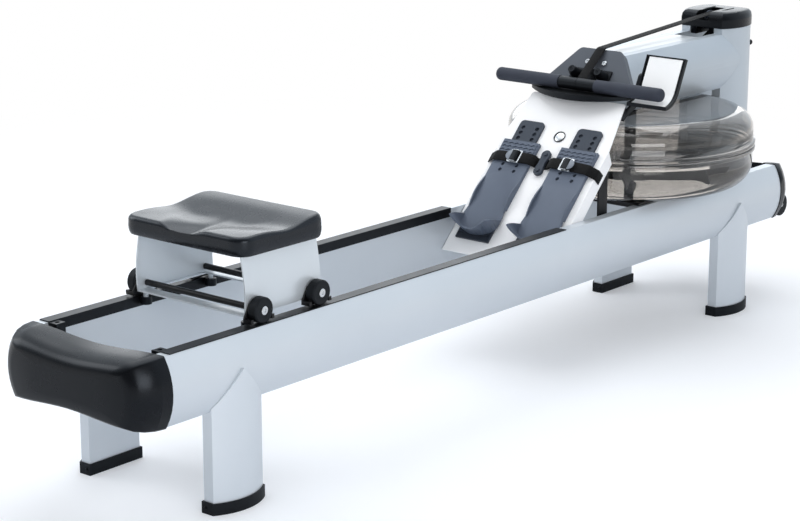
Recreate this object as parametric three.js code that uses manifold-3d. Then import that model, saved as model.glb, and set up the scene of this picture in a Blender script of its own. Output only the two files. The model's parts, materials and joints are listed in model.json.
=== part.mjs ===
// A water rowing machine: two D-section rails on four legs, a rolling seat, a sloping
// footboard, and a clear water tank under a twin arm and a twin post that carry the strap.
// Millimetres. +X is the rower's right, +Y runs from the seat end to the tank end, +Z is up.
// The origin is on the floor, at the middle of the machine's own box.

import * as THREE from 'three';
import { mergeVertices } from 'three/addons/utils/BufferGeometryUtils.js';
import Module from 'manifold-3d';

const wasm = await Module();
wasm.setup();

// Fits
const seatGap = 0.3;
const runGap = 0.6;
const cutOverrun = 6;

// The D-section tube that every frame member is made of
const tubeWidth = 126.4;
const tubeEdge = 22.5;
const tubeBulge = 19.5;
const tubeWall = 3;
const tubeArcSteps = 12;

// Rails, with places along the machine measured from the middle of the legs
const railSpacing = 285.6;
const railMidHeight = 252.6;
const railRear = -991.5;
const railFront = 1007;

// Legs and their rubber shoes
const legSpan = 1646;
const shoeHeight = 21.9;
const shoeFloor = 8;
const shoeWall = 3.5;
const legProud = 5.5;
const legPeakRise = 7.4;

// Tracks that the seat rolls on
const trackSkin = 1.9;
const trackFlange = 20;
const trackLip = 0.8;
const trackInset = 13.9;
const trackBoardReach = 269.9;
const stopWidth = 20;
const stopLength = 22;
const stopHeight = 24;
const stopHoleRadius = 4.5;

// Moulded bumpers that close the rails' ends
const rearBumperDepth = 74;
const frontBumperDepth = 57;
const bumperEndRound = 44;
const bumperProud = 2;
const bumperTopRound = 26;
const bumperFootRound = 18;
const bumperCrown = 3.5;
const bumperWaist = 9;
const bumperWall = 8;
const bumperRoof = 14;
const spigotLength = 34;
const spigotGap = 0.5;
const bumperRoundSteps = 5;
const bumperSpanSteps = 12;
const bumperSideSteps = 8;

// Transport wheels in the front bumper
const transportRadius = 27;
const transportWidth = 21;
const transportForward = 44;
const transportDrop = 41.1;
const transportInner = 143.5;
const transportPinRadius = 4;
const transportPocketGap = 4;
const transportHub = 11;
const transportDish = 4;

// Cross members
const postPlateThickness = 6;
const postPlateLead = 26;
const postPlateRise = 18;
const cradleThickness = 5;
const cradleDepth = 59;
const cradleLead = 8;
const cradleOffset = 158.5;
const cradleReach = 159;
const cradleRibHeight = 14;
const cradleRibWidth = 8;

// Post and arm, each a pair of tubes with a gap between for the strap
const pairGap = 65;
const postInset = 76;
const postRise = 12.3;
const armClearance = 5.3;
const hoodTankLap = 156;
const coverThickness = 3;
const coverPostGap = 69;
const coverFlange = 12;

// Tank
const tankPostGap = 7;
const tankHeight = 170.1;
const tankRadius = 276;
const tankWall = 4;
const tankTopFlat = 216;
const tankTopRoundHeight = 55.5;
const tankBottomFlat = 215;
const tankBottomRoundHeight = 63;
const flangeReach = 5;
const flangeThickness = 9.6;
const flangeRise = 91.1;
const sealThickness = 1.2;
const sealWidth = 9;
const tankSegments = 40;
const tankArcSteps = 5;

// Paddle in the tank, and the strap drum on its shaft
const shaftRadius = 9;
const shaftEndRise = 18.5;
const shaftSleeveRadius = 13;
const paddleHubRadius = 36;
const paddleHubRise = 20.6;
const paddleHubHeight = 50;
const paddleReach = 190;
const paddleHeight = 46;
const paddleThickness = 4;
const paddleRake = 20;
const paddleBlades = 6;
const drumRadius = 22;
const drumFlangeRadius = 30;
const drumFlange = 3;
const drumWidth = 30;
const drumRise = 6;

// Post cap and the strap pulley in it
const capProud = 2;
const capSkirt = 19.5;
const capCrown = 17;
const capRound = 15;
const capSideSteps = 8;
const capEdgeSteps = 3;
const capPlugDepth = 18;
const capPlugMargin = 12;
const capSlotWidth = 34;
const capRibWidth = 12;
const capRibOffset = 25;
const capRibHeight = 2.5;
const pulleyForward = 54;
const pulleyRise = 10;
const pulleyRadius = 19;
const pulleyFlangeRadius = 22.5;
const pulleyFlange = 2.5;
const pulleyWidth = 31;
const pulleyPinRadius = 4;

// Footboard, in its own plane: x across, y up the slope, z towards the rower
const boardBehindHandle = 3.3;
const boardShelfGap = 1.4;
const boardSlope = 45.5;
const boardThickness = 3;
const boardTopHalf = 124.8;
const boardElbow = 121.4;
const boardLength = 429;
const boardFlange = 30;
const boardCorner = 8;
const boardRailGap = 1.2;
const boardFlangeLead = 14;

// Brace behind the footboard
const braceLead = 109.4;
const braceDepth = 33;
const braceThickness = 4;
const braceInset = 8.5;
const braceRise = 34.6;

// Foot bases on the board
const baseOffset = 77;
const baseTop = 80;
const baseBottom = 394.5;
const baseShoulder = 147;
const baseHeadHalf = 32;
const baseHalf = 44;
const baseThickness = 5;
const baseCorner = 10;
const baseHoleRadius = 5;
const baseHoleFloor = 1.2;
const baseHoleSpacing = 18.6;
const baseHoleRows = 3;
const baseHoleFirst = 99;
const baseHolePitch = 14;
const baseTrayRim = 3;
const baseTrayDepth = 2.5;

// Heel cups that slide on the bases
const sleeveTop = 136;
const sleeveBottom = 383;
const sleeveWall = 3;
const sleeveGap = 0.6;
const sleeveFlare = 3.5;
const sleeveFlareStart = 310;
const sleeveFlareLength = 23;
const sleeveHoleRow = 199.5;
const sleeveHolePitch = 15;
const sleeveHoleRadius = 4.5;
const finTop = 236;
const finBottom = 322;
const finHeight = 8;
const finSteps = 8;
const ribCount = 4;
const ribPitch = 9;
const ribFirst = 142;
const ribWidth = 5.2;
const ribHeight = 2;
const ribZigzags = 6;
const ribSwing = 1.6;
const cupWall = 4;
const cupReach = 46;
const cupBendLead = 13;
const cupTipLead = 27;
const cupTipHeight = 44;
const cupHeelHeight = 23;
const cupLean = 5;
const cupTipAngle = 61;
const cupSteps = 18;
const cupArmSteps = 2;

// Foot straps, buckles and the plate that holds the straps' inner ends
const strapWidth = 25;
const strapThickness = 2;
const strapPlace = 181;
const strapClearance = 1.4;
const strapInner = 15;
const strapWrap = 18;
const buckleOffset = 8;
const buckleWidth = 26;
const buckleLength = 30;
const buckleHeight = 7;
const buckleBar = 3;
const buckleCamWidth = 14;
const anchorHalfWidth = 11;
const anchorHalfLength = 32;
const anchorThickness = 7;
const anchorWaist = 3;
const anchorBoltRadius = 5;
const anchorBoltHeight = 3;
const anchorBoltOffset = 20.6;

// Hood over the arm's near end
const hoodRise = 10.3;
const hoodSlope = 53.5;
const hoodLength = 96;
const hoodTopHalf = 55;
const hoodBottomHalf = 123.4;
const hoodCorner = 8;
const hoodWall = 3;
const hoodDepth = 20;

// Handle and what it rests on
const handleDown = 104.3;
const handleOut = 30.9;
const handleHalf = 219;
const gripRadius = 14.8;
const gripInner = 47.5;
const gripRound = 8;
const barRadius = 10.5;
const sleeveRadius = 13.6;
const sleeveSplit = 0.8;
const sleeveSplitDepth = 1;
const handleSegments = 20;
const shelfThickness = 14;
const shelfEndThickness = 7;
const shelfHalf = 127;
const shelfBulge = 44.5;
const shelfReach = 42.7;
const shelfHoodGap = 1.7;
const shelfSteps = 12;
const restPlateHalf = 52;
const restPlateTop = 52;
const restPlateLap = 3;
const restPlateThickness = 4;
const pegOffset = 34.5;
const pegPlace = 69;
const pegHeight = 31;
const pegTipRadius = 8.5;
const pegBaseRadius = 15;
const pegRecess = 2;
const pegSegments = 16;

// Drive strap
const driveWidth = 24;
const driveThickness = 2;
const driveHoodClearance = 1.2;
const pulleyWrapSteps = 12;

// Monitor and its arm
const monitorInner = 135;
const monitorWidth = 100;
const monitorThickness = 8;
const monitorTilt = 25;
const monitorRise = 72;
const monitorHandleGap = 6.8;
const monitorBendRadius = 47;
const monitorBendBack = 11;
const monitorBendSteps = 10;
const monitorCorner = 9;
const monitorPanelRim = 3;
const monitorPanelThickness = 1.6;
const monitorPanelRecess = 1;
const monitorPivotRise = 20;
const monitorBossRadius = 8.5;
const monitorBossLength = 27;
const monitorPinRadius = 4;
const monitorArmWidth = 6;
const monitorArmInner = 127.8;
const monitorFootLength = 30;
const monitorFootWidth = 26;

// Seat carriage
const carriageStart = 227.5;
const carriageLength = 198;
const axleInset = 22.5;
const wheelRadius = 24;
const wheelWidth = 20.5;
const wheelHub = 10;
const wheelBore = 4.6;
const wheelDish = 2.5;
const wheelEdge = 2.5;
const wheelSegments = 24;
const frameSheet = 3;
const frameHeight = 112.5;
const frameGroundGap = 11;
const frameBottomHalf = 137.4;
const frameTopHalf = 130;
const frameBow = 7;
const frameBowSteps = 8;
const frameStrip = 26;
const axleRadius = 4;
const spacerRadius = 6;
const guardThickness = 3.2;
const guardHalf = 30;
const guardTop = 12;
const guardToeHeight = 8;
const guardToeGap = 3.6;
const guardToeReach = 17;
const guideRadius = 11;
const guideHeight = 14;
const guideNeckRadius = 5;
const guideInset = 14;

// Seat pad
const padHalfWidth = 153;
const padLength = 227;
const padSetBack = 5.5;
const padCorner = 30;
const padThickness = 35;
const padSideDraw = 4;
const padTopRound = 9;
const padNotchDepth = 20;
const padNotchHalf = 50;
const padNotchRound = 7;
const padNotchReach = 100;
const padDipPlace = 126;
const padDipDepth = 8;
const padDipReach = 46;
const padHollowPlace = 96;
const padHollowDepth = 7;
const padHollowOffset = 62;
const padHollowRadius = 52;
const padFrontRise = 10;
const padSteps = 56;
const padSideSteps = 5;
const padTopRings = 10;

// Finishes
const finishes = {
  silver: new THREE.MeshStandardMaterial({ color: 0xb4bcc6, roughness: 0.38, metalness: 0.75 }),
  white: new THREE.MeshStandardMaterial({ color: 0xe6e9ec, roughness: 0.4, metalness: 0.3 }),
  black: new THREE.MeshStandardMaterial({ color: 0x1d1e21, roughness: 0.5, metalness: 0 }),
  rubber: new THREE.MeshStandardMaterial({ color: 0x202124, roughness: 0.8, metalness: 0 }),
  grey: new THREE.MeshStandardMaterial({ color: 0x6b7480, roughness: 0.55, metalness: 0 }),
  pad: new THREE.MeshStandardMaterial({ color: 0x3a3d42, roughness: 0.6, metalness: 0 }),
  webbing: new THREE.MeshStandardMaterial({ color: 0x17181a, roughness: 0.9, metalness: 0 }),
  smoke: new THREE.MeshStandardMaterial({
    color: 0x6f6c6a, roughness: 0.08, metalness: 0, transparent: true, opacity: 0.4
  }),
  steel: new THREE.MeshStandardMaterial({ color: 0xc6c8ca, roughness: 0.25, metalness: 1 })
};

// Sizes that follow from the ones above
const railInner = railSpacing / 2;
const railTop = railMidHeight + tubeWidth / 2;
const railBottom = railMidHeight - tubeWidth / 2;
const tubeDepth = tubeEdge + tubeBulge;
const legInner = railInner + legProud;
const trackTop = railTop + seatGap + trackSkin;
const trackInner = railInner - seatGap - trackSkin;
const trackRear = railRear + trackInset;
const pairInner = pairGap / 2;
const postFrontFace = railFront - postInset;
const postMid = postFrontFace + tubeWidth / 2;
const postBack = postFrontFace + tubeWidth;
const postBottom = railBottom + postPlateRise + postPlateThickness + seatGap;
const tankCentre = postFrontFace - tankPostGap - flangeReach - tankRadius;
const tankBottom = railTop + seatGap * 2 + cradleThickness;
const tankTop = tankBottom + tankHeight;
const flangeMidHeight = tankBottom + flangeRise;
const drumBottom = tankTop + drumRise;
const drumTop = drumBottom + drumWidth;
const armMidHeight = tankTop + armClearance + tubeWidth / 2;
const armTop = armMidHeight + tubeWidth / 2;
const postTop = armTop + postRise;
const hoodTopPlace = tankCentre - tankRadius + hoodTankLap;
const hoodTopHeight = armTop + hoodRise;
const [handlePlace, handleHeight] = onHood(-handleDown, handleOut);
const shelfTop = handleHeight - gripRadius - seatGap;
const shelfLow = shelfTop - shelfThickness;
const shelfDown = (hoodTopHeight - shelfTop + shelfThickness / 2) / Math.sin(radians(hoodSlope));
const shelfBack = onHood(-shelfDown, 0)[0] - shelfHoodGap;
const boardTopPlace = handlePlace + boardBehindHandle;
const boardTopHeight = shelfLow - boardShelfGap;
const trackFront = boardTopPlace - trackBoardReach;
const transportPlace = railFront + transportForward;
const transportHeight = railMidHeight - transportDrop;
const boardHalf = railInner - boardRailGap;
const cupFront = sleeveBottom - cupReach;
const cupBend = cupFront + cupBendLead;
const cupTipPlace = cupFront + cupTipLead;
const carriageRear = railRear + carriageStart;
const rearBumperEnd = railRear - seatGap - rearBumperDepth - bumperCrown;
const frontBumperEnd = railFront + seatGap + frontBumperDepth + bumperCrown;
const machineFront = Math.max(transportPlace + transportRadius, frontBumperEnd);

const machine = new THREE.Group();
machine.position.y = -(machineFront + rearBumperEnd) / 2;

// Geometry helpers

function radians(degrees) {
  return THREE.MathUtils.degToRad(degrees);
}

// A place given up a slope and out from it, as [y, z] of the machine.
function onSlope(place, height, slope, up, out) {
  return [
    place + up * Math.cos(slope) - out * Math.sin(slope),
    height + up * Math.sin(slope) + out * Math.cos(slope)
  ];
}

function onHood(up, out) {
  return onSlope(hoodTopPlace, hoodTopHeight, radians(hoodSlope), up, out);
}

function signedVolume(position, index) {
  const a = new THREE.Vector3();
  const b = new THREE.Vector3();
  const c = new THREE.Vector3();
  let volume = 0;
  for (let i = 0; i < index.length; i += 3) {
    a.fromBufferAttribute(position, index[i]);
    b.fromBufferAttribute(position, index[i + 1]);
    c.fromBufferAttribute(position, index[i + 2]);
    volume += a.dot(b.cross(c));
  }
  return volume;
}

// Joins shared vertices, drops empty triangles and turns the faces outwards.
function weld(geometry) {
  const bare = geometry.clone();
  bare.deleteAttribute('normal');
  bare.deleteAttribute('uv');
  const merged = mergeVertices(bare);
  const kept = [];
  const source = merged.index.array;
  for (let i = 0; i < source.length; i += 3) {
    const [a, b, c] = [source[i], source[i + 1], source[i + 2]];
    if (a !== b && b !== c && c !== a) kept.push(a, b, c);
  }
  if (signedVolume(merged.attributes.position, kept) < 0) {
    for (let i = 0; i < kept.length; i += 3) [kept[i], kept[i + 1]] = [kept[i + 1], kept[i]];
  }
  merged.setIndex(kept);
  return merged;
}

function toSolid(geometry) {
  const welded = weld(geometry);
  return new wasm.Manifold(new wasm.Mesh({
    numProp: 3,
    vertProperties: new Float32Array(welded.attributes.position.array),
    triVerts: new Uint32Array(welded.index.array)
  }));
}

function toGeometry(solid) {
  const mesh = solid.getMesh();
  const geometry = new THREE.BufferGeometry();
  geometry.setAttribute('position', new THREE.BufferAttribute(mesh.vertProperties, 3));
  geometry.setIndex(new THREE.BufferAttribute(mesh.triVerts, 1));
  return geometry;
}

function cut(body, ...tools) {
  return toGeometry(tools.reduce((solid, tool) => solid.subtract(toSolid(tool)), toSolid(body)));
}

function join(...bodies) {
  return toGeometry(bodies.slice(1).reduce((solid, other) => solid.add(toSolid(other)), toSolid(bodies[0])));
}

function intersect(body, other) {
  return toGeometry(toSolid(body).intersect(toSolid(other)));
}

function outline(points) {
  const corners = points.map(([a, b]) => new THREE.Vector2(a, b));
  if (THREE.ShapeUtils.isClockWise(corners)) corners.reverse();
  return new THREE.Shape(corners);
}

const axisX = new THREE.Vector3(1, 0, 0);
const axisY = new THREE.Vector3(0, 1, 0);
const axisZ = new THREE.Vector3(0, 0, 1);
const bases = {
  x: new THREE.Matrix4().makeBasis(axisY, axisZ, axisX),
  y: new THREE.Matrix4().makeBasis(axisX, axisZ, axisY.clone().negate()),
  z: new THREE.Matrix4()
};

// A straight extrusion of an outline given in the two axes across the named one.
function prism(points, axis, from, to, holes = []) {
  const shape = points instanceof THREE.Shape ? points : outline(points);
  holes.forEach((hole) => shape.holes.push(hole instanceof THREE.Path ? hole : outline(hole)));
  const depth = Math.abs(to - from);
  const geometry = new THREE.ExtrudeGeometry(shape, { depth, bevelEnabled: false, curveSegments: 6 });
  const [low, high] = [Math.min(from, to), Math.max(from, to)];
  const [start, end] = axis === 'y' ? [-high, -low] : [low, high];
  const { position } = geometry.attributes;
  for (let i = 0; i < position.count; i += 1) position.setZ(i, position.getZ(i) > 0 ? end : start);
  return geometry.applyMatrix4(bases[axis]);
}

function block(xFrom, xTo, yFrom, yTo, zFrom, zTo) {
  return prism([[xFrom, zFrom], [xTo, zFrom], [xTo, zTo], [xFrom, zTo]], 'y', yFrom, yTo);
}

// A profile of [radius, height] pairs turned round an axis through the origin.
function revolve(profile, axis, segments) {
  const points = profile.map(([radius, height]) => new THREE.Vector2(radius, height));
  const geometry = new THREE.LatheGeometry(points, segments);
  if (axis === 'z') geometry.rotateX(Math.PI / 2);
  if (axis === 'x') geometry.rotateZ(-Math.PI / 2);
  return geometry;
}

function rod(radius, axis, from, to, segments) {
  return revolve([[0, from], [radius, from], [radius, to], [0, to]], axis, segments);
}

function circle(x, y, radius) {
  const path = new THREE.Path();
  path.absarc(x, y, radius, 0, Math.PI * 2, true);
  return path;
}

// A rectangle with round corners; each corner radius may differ between top and bottom.
function roundRectangle(xFrom, xTo, yFrom, yTo, radius) {
  const shape = new THREE.Shape();
  shape.moveTo(xFrom + radius, yFrom);
  shape.lineTo(xTo - radius, yFrom);
  shape.absarc(xTo - radius, yFrom + radius, radius, -Math.PI / 2, 0, false);
  shape.absarc(xTo - radius, yTo - radius, radius, 0, Math.PI / 2, false);
  shape.absarc(xFrom + radius, yTo - radius, radius, Math.PI / 2, Math.PI, false);
  shape.absarc(xFrom + radius, yFrom + radius, radius, Math.PI, Math.PI * 1.5, false);
  return shape;
}

// Rings of equal point counts skinned into one closed body, each end closed to a centre point.
function skin(rings, startCentre, endCentre) {
  const count = rings[0].length;
  const vertices = [...rings.flat(), startCentre, endCentre].flat();
  const startIndex = rings.length * count;
  const faces = [];
  for (let ring = 0; ring < rings.length - 1; ring += 1) {
    for (let i = 0; i < count; i += 1) {
      const next = (i + 1) % count;
      const [a, b] = [ring * count + i, ring * count + next];
      faces.push(a, b, b + count, a, b + count, a + count);
    }
  }
  const last = (rings.length - 1) * count;
  for (let i = 0; i < count; i += 1) {
    const next = (i + 1) % count;
    faces.push(startIndex, next, i);
    faces.push(startIndex + 1, last + i, last + next);
  }
  const geometry = new THREE.BufferGeometry();
  geometry.setAttribute('position', new THREE.Float32BufferAttribute(vertices, 3));
  geometry.setIndex(faces);
  return geometry;
}

function add(parent, name, geometry, finish) {
  const mesh = new THREE.Mesh(weld(geometry), finishes[finish]);
  mesh.name = name;
  parent.add(mesh);
  return mesh;
}

const sides = [['left', -1], ['right', 1]];

// Frame

// The tube's outline as [outward, across] pairs, moved outwards by grow.
function tubeOutline(grow) {
  const half = tubeWidth / 2;
  const radius = (half * half + tubeBulge * tubeBulge) / (2 * tubeBulge);
  const centre = tubeDepth - radius;
  const reach = half + grow;
  const points = [[-grow, -reach]];
  for (let i = 0; i <= tubeArcSteps; i += 1) {
    const across = reach * (2 * i / tubeArcSteps - 1);
    points.push([centre + Math.sqrt((radius + grow) ** 2 - across * across), across]);
  }
  points.push([-grow, reach]);
  return points;
}

// The outline placed with its flat face at inner, on one side, its middle at mid.
function placedTube(side, inner, mid, grow) {
  return tubeOutline(grow).map(([outward, across]) => [side * (inner + outward), mid + across]);
}

function tube(side, inner, mid, axis, from, to) {
  return prism(placedTube(side, inner, mid, 0), axis, from, to, [placedTube(side, inner, mid, -tubeWall)]);
}

function addRails() {
  sides.forEach(([word, side]) => {
    add(machine, `rail_${word}`, tube(side, railInner, railMidHeight, 'y', railRear, railFront), 'silver');
  });
}

function addLegs() {
  [['rear', -1], ['front', 1]].forEach(([end, along]) => {
    sides.forEach(([word, side]) => {
      const mid = along * legSpan / 2;
      const bottom = shoeFloor + seatGap;
      const peak = railMidHeight + legPeakRise;
      const half = tubeWidth / 2;
      const solid = prism(placedTube(side, legInner, mid, 0), 'z', bottom, peak);
      const pointed = prism([
        [mid - half, bottom], [mid + half, bottom], [mid + half, peak - half], [mid, peak], [mid - half, peak - half]
      ], 'x', -legInner - tubeWidth, legInner + tubeWidth);
      const rail = prism(placedTube(side, railInner, railMidHeight, seatGap), 'y', mid - tubeWidth, mid + tubeWidth);
      const boreTop = railBottom - tubeWall;
      const bore = prism(placedTube(side, legInner, mid, -tubeWall), 'z', bottom - cutOverrun, boreTop);
      add(machine, `leg_${end}_${word}`, cut(intersect(solid, pointed), rail, bore), 'silver');
      const shoe = prism(placedTube(side, legInner, mid, shoeWall), 'z', 0, shoeHeight);
      const socket = prism(placedTube(side, legInner, mid, seatGap), 'z', shoeFloor, shoeHeight + cutOverrun);
      add(machine, `foot_pad_${end}_${word}`, cut(shoe, socket), 'rubber');
    });
  });
}

function addTracks() {
  sides.forEach(([word, side]) => {
    const outer = railInner + tubeEdge + trackLip;
    const inside = trackInner + trackSkin;
    const section = [
      [trackInner, trackTop],
      [outer, trackTop],
      [outer, trackTop - trackSkin],
      [inside, trackTop - trackSkin],
      [inside, trackTop - trackFlange],
      [trackInner, trackTop - trackFlange]
    ].map(([x, z]) => [side * x, z]);
    const strip = prism(section, 'y', trackRear, trackFront);
    const blockEdges = [side * (trackInner - stopWidth), side * (inside + trackInner) / 2].sort((a, b) => a - b);
    const stop = block(...blockEdges, trackRear, trackRear + stopLength, trackTop - stopHeight, trackTop - trackSkin);
    const hole = rod(stopHoleRadius, 'z', trackTop - stopHeight - cutOverrun, trackTop + cutOverrun, 10);
    hole.translate(side * (trackInner - stopWidth / 2), trackRear + stopLength / 2, 0);
    add(machine, `track_${word}`, cut(join(strip, stop), hole), 'black');
  });
}

// One closed ring of the bumper's outline, in the plane across the rails.
function bumperRing(grow) {
  const half = tubeWidth / 2;
  const radius = (half * half + tubeBulge * tubeBulge) / (2 * tubeBulge) + grow;
  const centre = railInner + tubeDepth - radius + grow;
  const reach = half + grow;
  const cornerShare = 0.94;
  const ring = [];
  sides.slice().reverse().forEach(([, side]) => {
    for (let i = 0; i <= bumperSideSteps; i += 1) {
      const across = side * reach * cornerShare * (2 * i / bumperSideSteps - 1);
      ring.push([side * (centre + Math.sqrt(radius * radius - across * across)), railMidHeight + across]);
    }
    const edge = centre + Math.sqrt(radius * radius - reach * reach);
    for (let i = 0; i <= bumperSpanSteps; i += 1) {
      const x = side * edge * (1 - 2 * i / bumperSpanSteps);
      const waist = bumperWaist * (1 + Math.cos(Math.PI * x / edge)) / 2;
      ring.push([x, railMidHeight + side * (reach - waist)]);
    }
  });
  return ring;
}

// The bumper's face is rounded by different sizes at its two ends, its top and its foot.
function bumperBody(face, along, bumperDepth) {
  const endReach = railInner + tubeDepth + bumperProud;
  const highReach = tubeWidth / 2 + bumperProud;
  const edge = bumperRing(bumperProud);
  const rings = [];
  for (let i = 0; i <= bumperRoundSteps; i += 1) {
    const turn = Math.PI / 2 * i / bumperRoundSteps;
    const fade = 1 - Math.cos(turn);
    const crown = bumperCrown * Math.sin(turn);
    rings.push(edge.map(([x, z]) => {
      const round = z > railMidHeight ? bumperTopRound : bumperFootRound;
      return [
        x * (1 - bumperEndRound * fade / endReach),
        face + along * (bumperDepth * Math.sin(turn) + crown * (1 - (x / endReach) ** 2)),
        railMidHeight + (z - railMidHeight) * (1 - round * fade / highReach)
      ];
    }));
  }
  const faceShare = 0.6;
  rings.push(rings.at(-1).map(([x, , z]) => {
    const crown = bumperCrown * (1 - (faceShare * x / endReach) ** 2);
    return [faceShare * x, face + along * (bumperDepth + crown), railMidHeight + faceShare * (z - railMidHeight)];
  }));
  const end = face + along * (bumperDepth + bumperCrown);
  const body = skin(rings, [0, face, railMidHeight], [0, end, railMidHeight]);
  const spigots = sides.map(([, side]) => prism(
    placedTube(side, railInner, railMidHeight, -tubeWall - spigotGap),
    'y', face + along * cutOverrun, face - along * spigotLength
  ));
  return join(body, ...spigots);
}

function addBumpers() {
  const halfPocket = railInner - bumperWall;
  const pocketTop = tubeWidth / 2 - bumperWaist - bumperRoof;
  const rearFace = railRear - seatGap;
  const rearPocket = block(
    -halfPocket, halfPocket, rearFace - rearBumperDepth + bumperWall, rearFace + cutOverrun,
    railMidHeight - pocketTop, railMidHeight + pocketTop
  );
  add(machine, 'rear_bumper', cut(bumperBody(rearFace, -1, rearBumperDepth), rearPocket), 'black');

  const frontFace = railFront + seatGap;
  const postPocket = block(
    -halfPocket, halfPocket, frontFace - cutOverrun, postBack + seatGap,
    railMidHeight - pocketTop, railMidHeight + tubeWidth
  );
  const wheelPockets = [];
  const pins = [];
  sides.forEach(([, side]) => {
    const pocket = rod(
      transportRadius + transportPocketGap, 'x',
      transportInner - runGap, transportInner + transportWidth + runGap, handleSegments
    );
    pocket.scale(side, 1, 1).translate(0, transportPlace, transportHeight);
    wheelPockets.push(pocket);
    const pin = rod(transportPinRadius, 'x', transportInner - bumperWall, transportInner + transportWidth, 10);
    pin.scale(side, 1, 1).translate(0, transportPlace, transportHeight);
    pins.push(pin);
  });
  const front = bumperBody(frontFace, 1, frontBumperDepth);
  add(machine, 'front_bumper', join(cut(front, postPocket, ...wheelPockets), ...pins), 'black');
}

function addTransportWheels() {
  const half = transportWidth / 2;
  const bore = transportPinRadius + runGap;
  const profile = [
    [bore, -half], [transportHub, -half], [transportHub, -half + transportDish],
    [transportRadius - transportDish, -half + transportDish], [transportRadius - transportDish, -half],
    [transportRadius, -half + transportDish / 2], [transportRadius, half - transportDish / 2],
    [transportRadius - transportDish, half], [bore, half], [bore, -half]
  ];
  sides.forEach(([word, side]) => {
    const wheel = revolve(profile, 'x', handleSegments);
    wheel.translate(side * (transportInner + half), transportPlace, transportHeight);
    add(machine, `transport_wheel_${word}`, wheel, 'rubber');
  });
}

function addCrossMembers() {
  const reach = railInner - seatGap;
  const plateBottom = railBottom + postPlateRise;
  const plate = block(
    -reach, reach, postFrontFace - postPlateLead, railFront - spigotGap,
    plateBottom, plateBottom + postPlateThickness
  );
  add(machine, 'post_plate', plate, 'silver');

  [['rear', -1], ['front', 1]].forEach(([end, along]) => {
    const mid = tankCentre - cradleLead + along * cradleOffset;
    const base = railTop + seatGap;
    const strip = block(
      -cradleReach, cradleReach, mid - cradleDepth / 2, mid + cradleDepth / 2, base, base + cradleThickness
    );
    const rib = block(
      -reach, reach, mid - cradleRibWidth / 2, mid + cradleRibWidth / 2, base - cradleRibHeight, base + cradleThickness / 2
    );
    add(machine, `tank_cradle_${end}`, join(strip, rib), 'black');
  });
}

// A thick slab in front of the hood's back plane, which trims what ends there.
function hoodTrim(back) {
  const tilt = radians(hoodSlope);
  const slab = block(-tankRadius, tankRadius, -tankRadius, tankRadius, -back, tankRadius);
  slab.rotateX(tilt);
  return slab.translate(0, hoodTopPlace, hoodTopHeight);
}

function addPostAndArm() {
  sides.forEach(([word, side]) => {
    add(machine, `post_${word}`, tube(side, pairInner, postMid, 'z', postBottom, postTop), 'silver');
    const arm = tube(side, pairInner, armMidHeight, 'y', boardTopPlace - hoodDepth, postMid);
    const post = prism(placedTube(side, pairInner, postMid, seatGap), 'z', postBottom, postTop + cutOverrun);
    add(machine, `arm_${word}`, cut(arm, post, hoodTrim(hoodWall + seatGap)), 'silver');
  });
  const half = pairInner - seatGap;
  const inner = half - coverThickness;
  const low = armTop - coverFlange;
  const section = [
    [-half, armTop], [half, armTop], [half, low], [inner, low],
    [inner, armTop - coverThickness], [-inner, armTop - coverThickness], [-inner, low], [-half, low]
  ];
  const cover = prism(section, 'y', hoodTopPlace - hoodDepth, postFrontFace - coverPostGap);
  add(machine, 'arm_cover', cut(cover, hoodTrim(hoodWall + seatGap)), 'white');
}

// Tank

// Part of an ellipse's quarter, from one share of the right angle to another.
function quarter(centreRadius, centreHeight, acrossRadius, heightRadius, fromShare, toShare) {
  const points = [];
  for (let i = 0; i <= tankArcSteps; i += 1) {
    const turn = Math.PI / 2 * (fromShare + (toShare - fromShare) * i / tankArcSteps);
    points.push([centreRadius + acrossRadius * Math.cos(turn), centreHeight + heightRadius * Math.sin(turn)]);
  }
  return points;
}

function addTank() {
  const hole = shaftSleeveRadius + runGap;
  const flangeGap = sealThickness / 2 + seatGap;
  const upperFoot = flangeMidHeight + flangeGap;
  const lowerFoot = flangeMidHeight - flangeGap;
  const flangeRadius = tankRadius + flangeReach;
  const topRound = tankRadius - tankTopFlat;
  const topCentre = tankTop - tankTopRoundHeight;
  const upper = [
    [hole, tankTop],
    ...quarter(tankTopFlat, topCentre, topRound, tankTopRoundHeight, 1, 0),
    [tankRadius, upperFoot + flangeThickness], [flangeRadius, upperFoot + flangeThickness],
    [flangeRadius, upperFoot], [tankRadius - tankWall, upperFoot],
    ...quarter(tankTopFlat, topCentre, topRound - tankWall, tankTopRoundHeight - tankWall, 0, 1),
    [hole, tankTop - tankWall], [hole, tankTop]
  ];
  const bottomRound = tankRadius - tankBottomFlat;
  const bottomCentre = tankBottom + tankBottomRoundHeight;
  const lower = [
    [0, tankBottom],
    ...quarter(tankBottomFlat, bottomCentre, bottomRound, tankBottomRoundHeight, -1, 0),
    [tankRadius, lowerFoot - flangeThickness], [flangeRadius, lowerFoot - flangeThickness],
    [flangeRadius, lowerFoot], [tankRadius - tankWall, lowerFoot],
    ...quarter(tankBottomFlat, bottomCentre, bottomRound - tankWall, tankBottomRoundHeight - tankWall, 0, -1),
    [0, tankBottom + tankWall]
  ];
  const sealOuter = flangeRadius - flangeReach / 2;
  const sealInner = sealOuter - sealWidth;
  const sealHalf = sealThickness / 2;
  const seal = [
    [sealInner, flangeMidHeight - sealHalf], [sealOuter, flangeMidHeight - sealHalf],
    [sealOuter, flangeMidHeight + sealHalf], [sealInner, flangeMidHeight + sealHalf],
    [sealInner, flangeMidHeight - sealHalf]
  ];
  [['tank_upper', upper, 'smoke'], ['tank_lower', lower, 'smoke'], ['tank_seal', seal, 'rubber']]
    .forEach(([name, profile, finish]) => {
      add(machine, name, revolve(profile, 'z', tankSegments), finish).position.y = tankCentre;
    });
}

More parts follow.
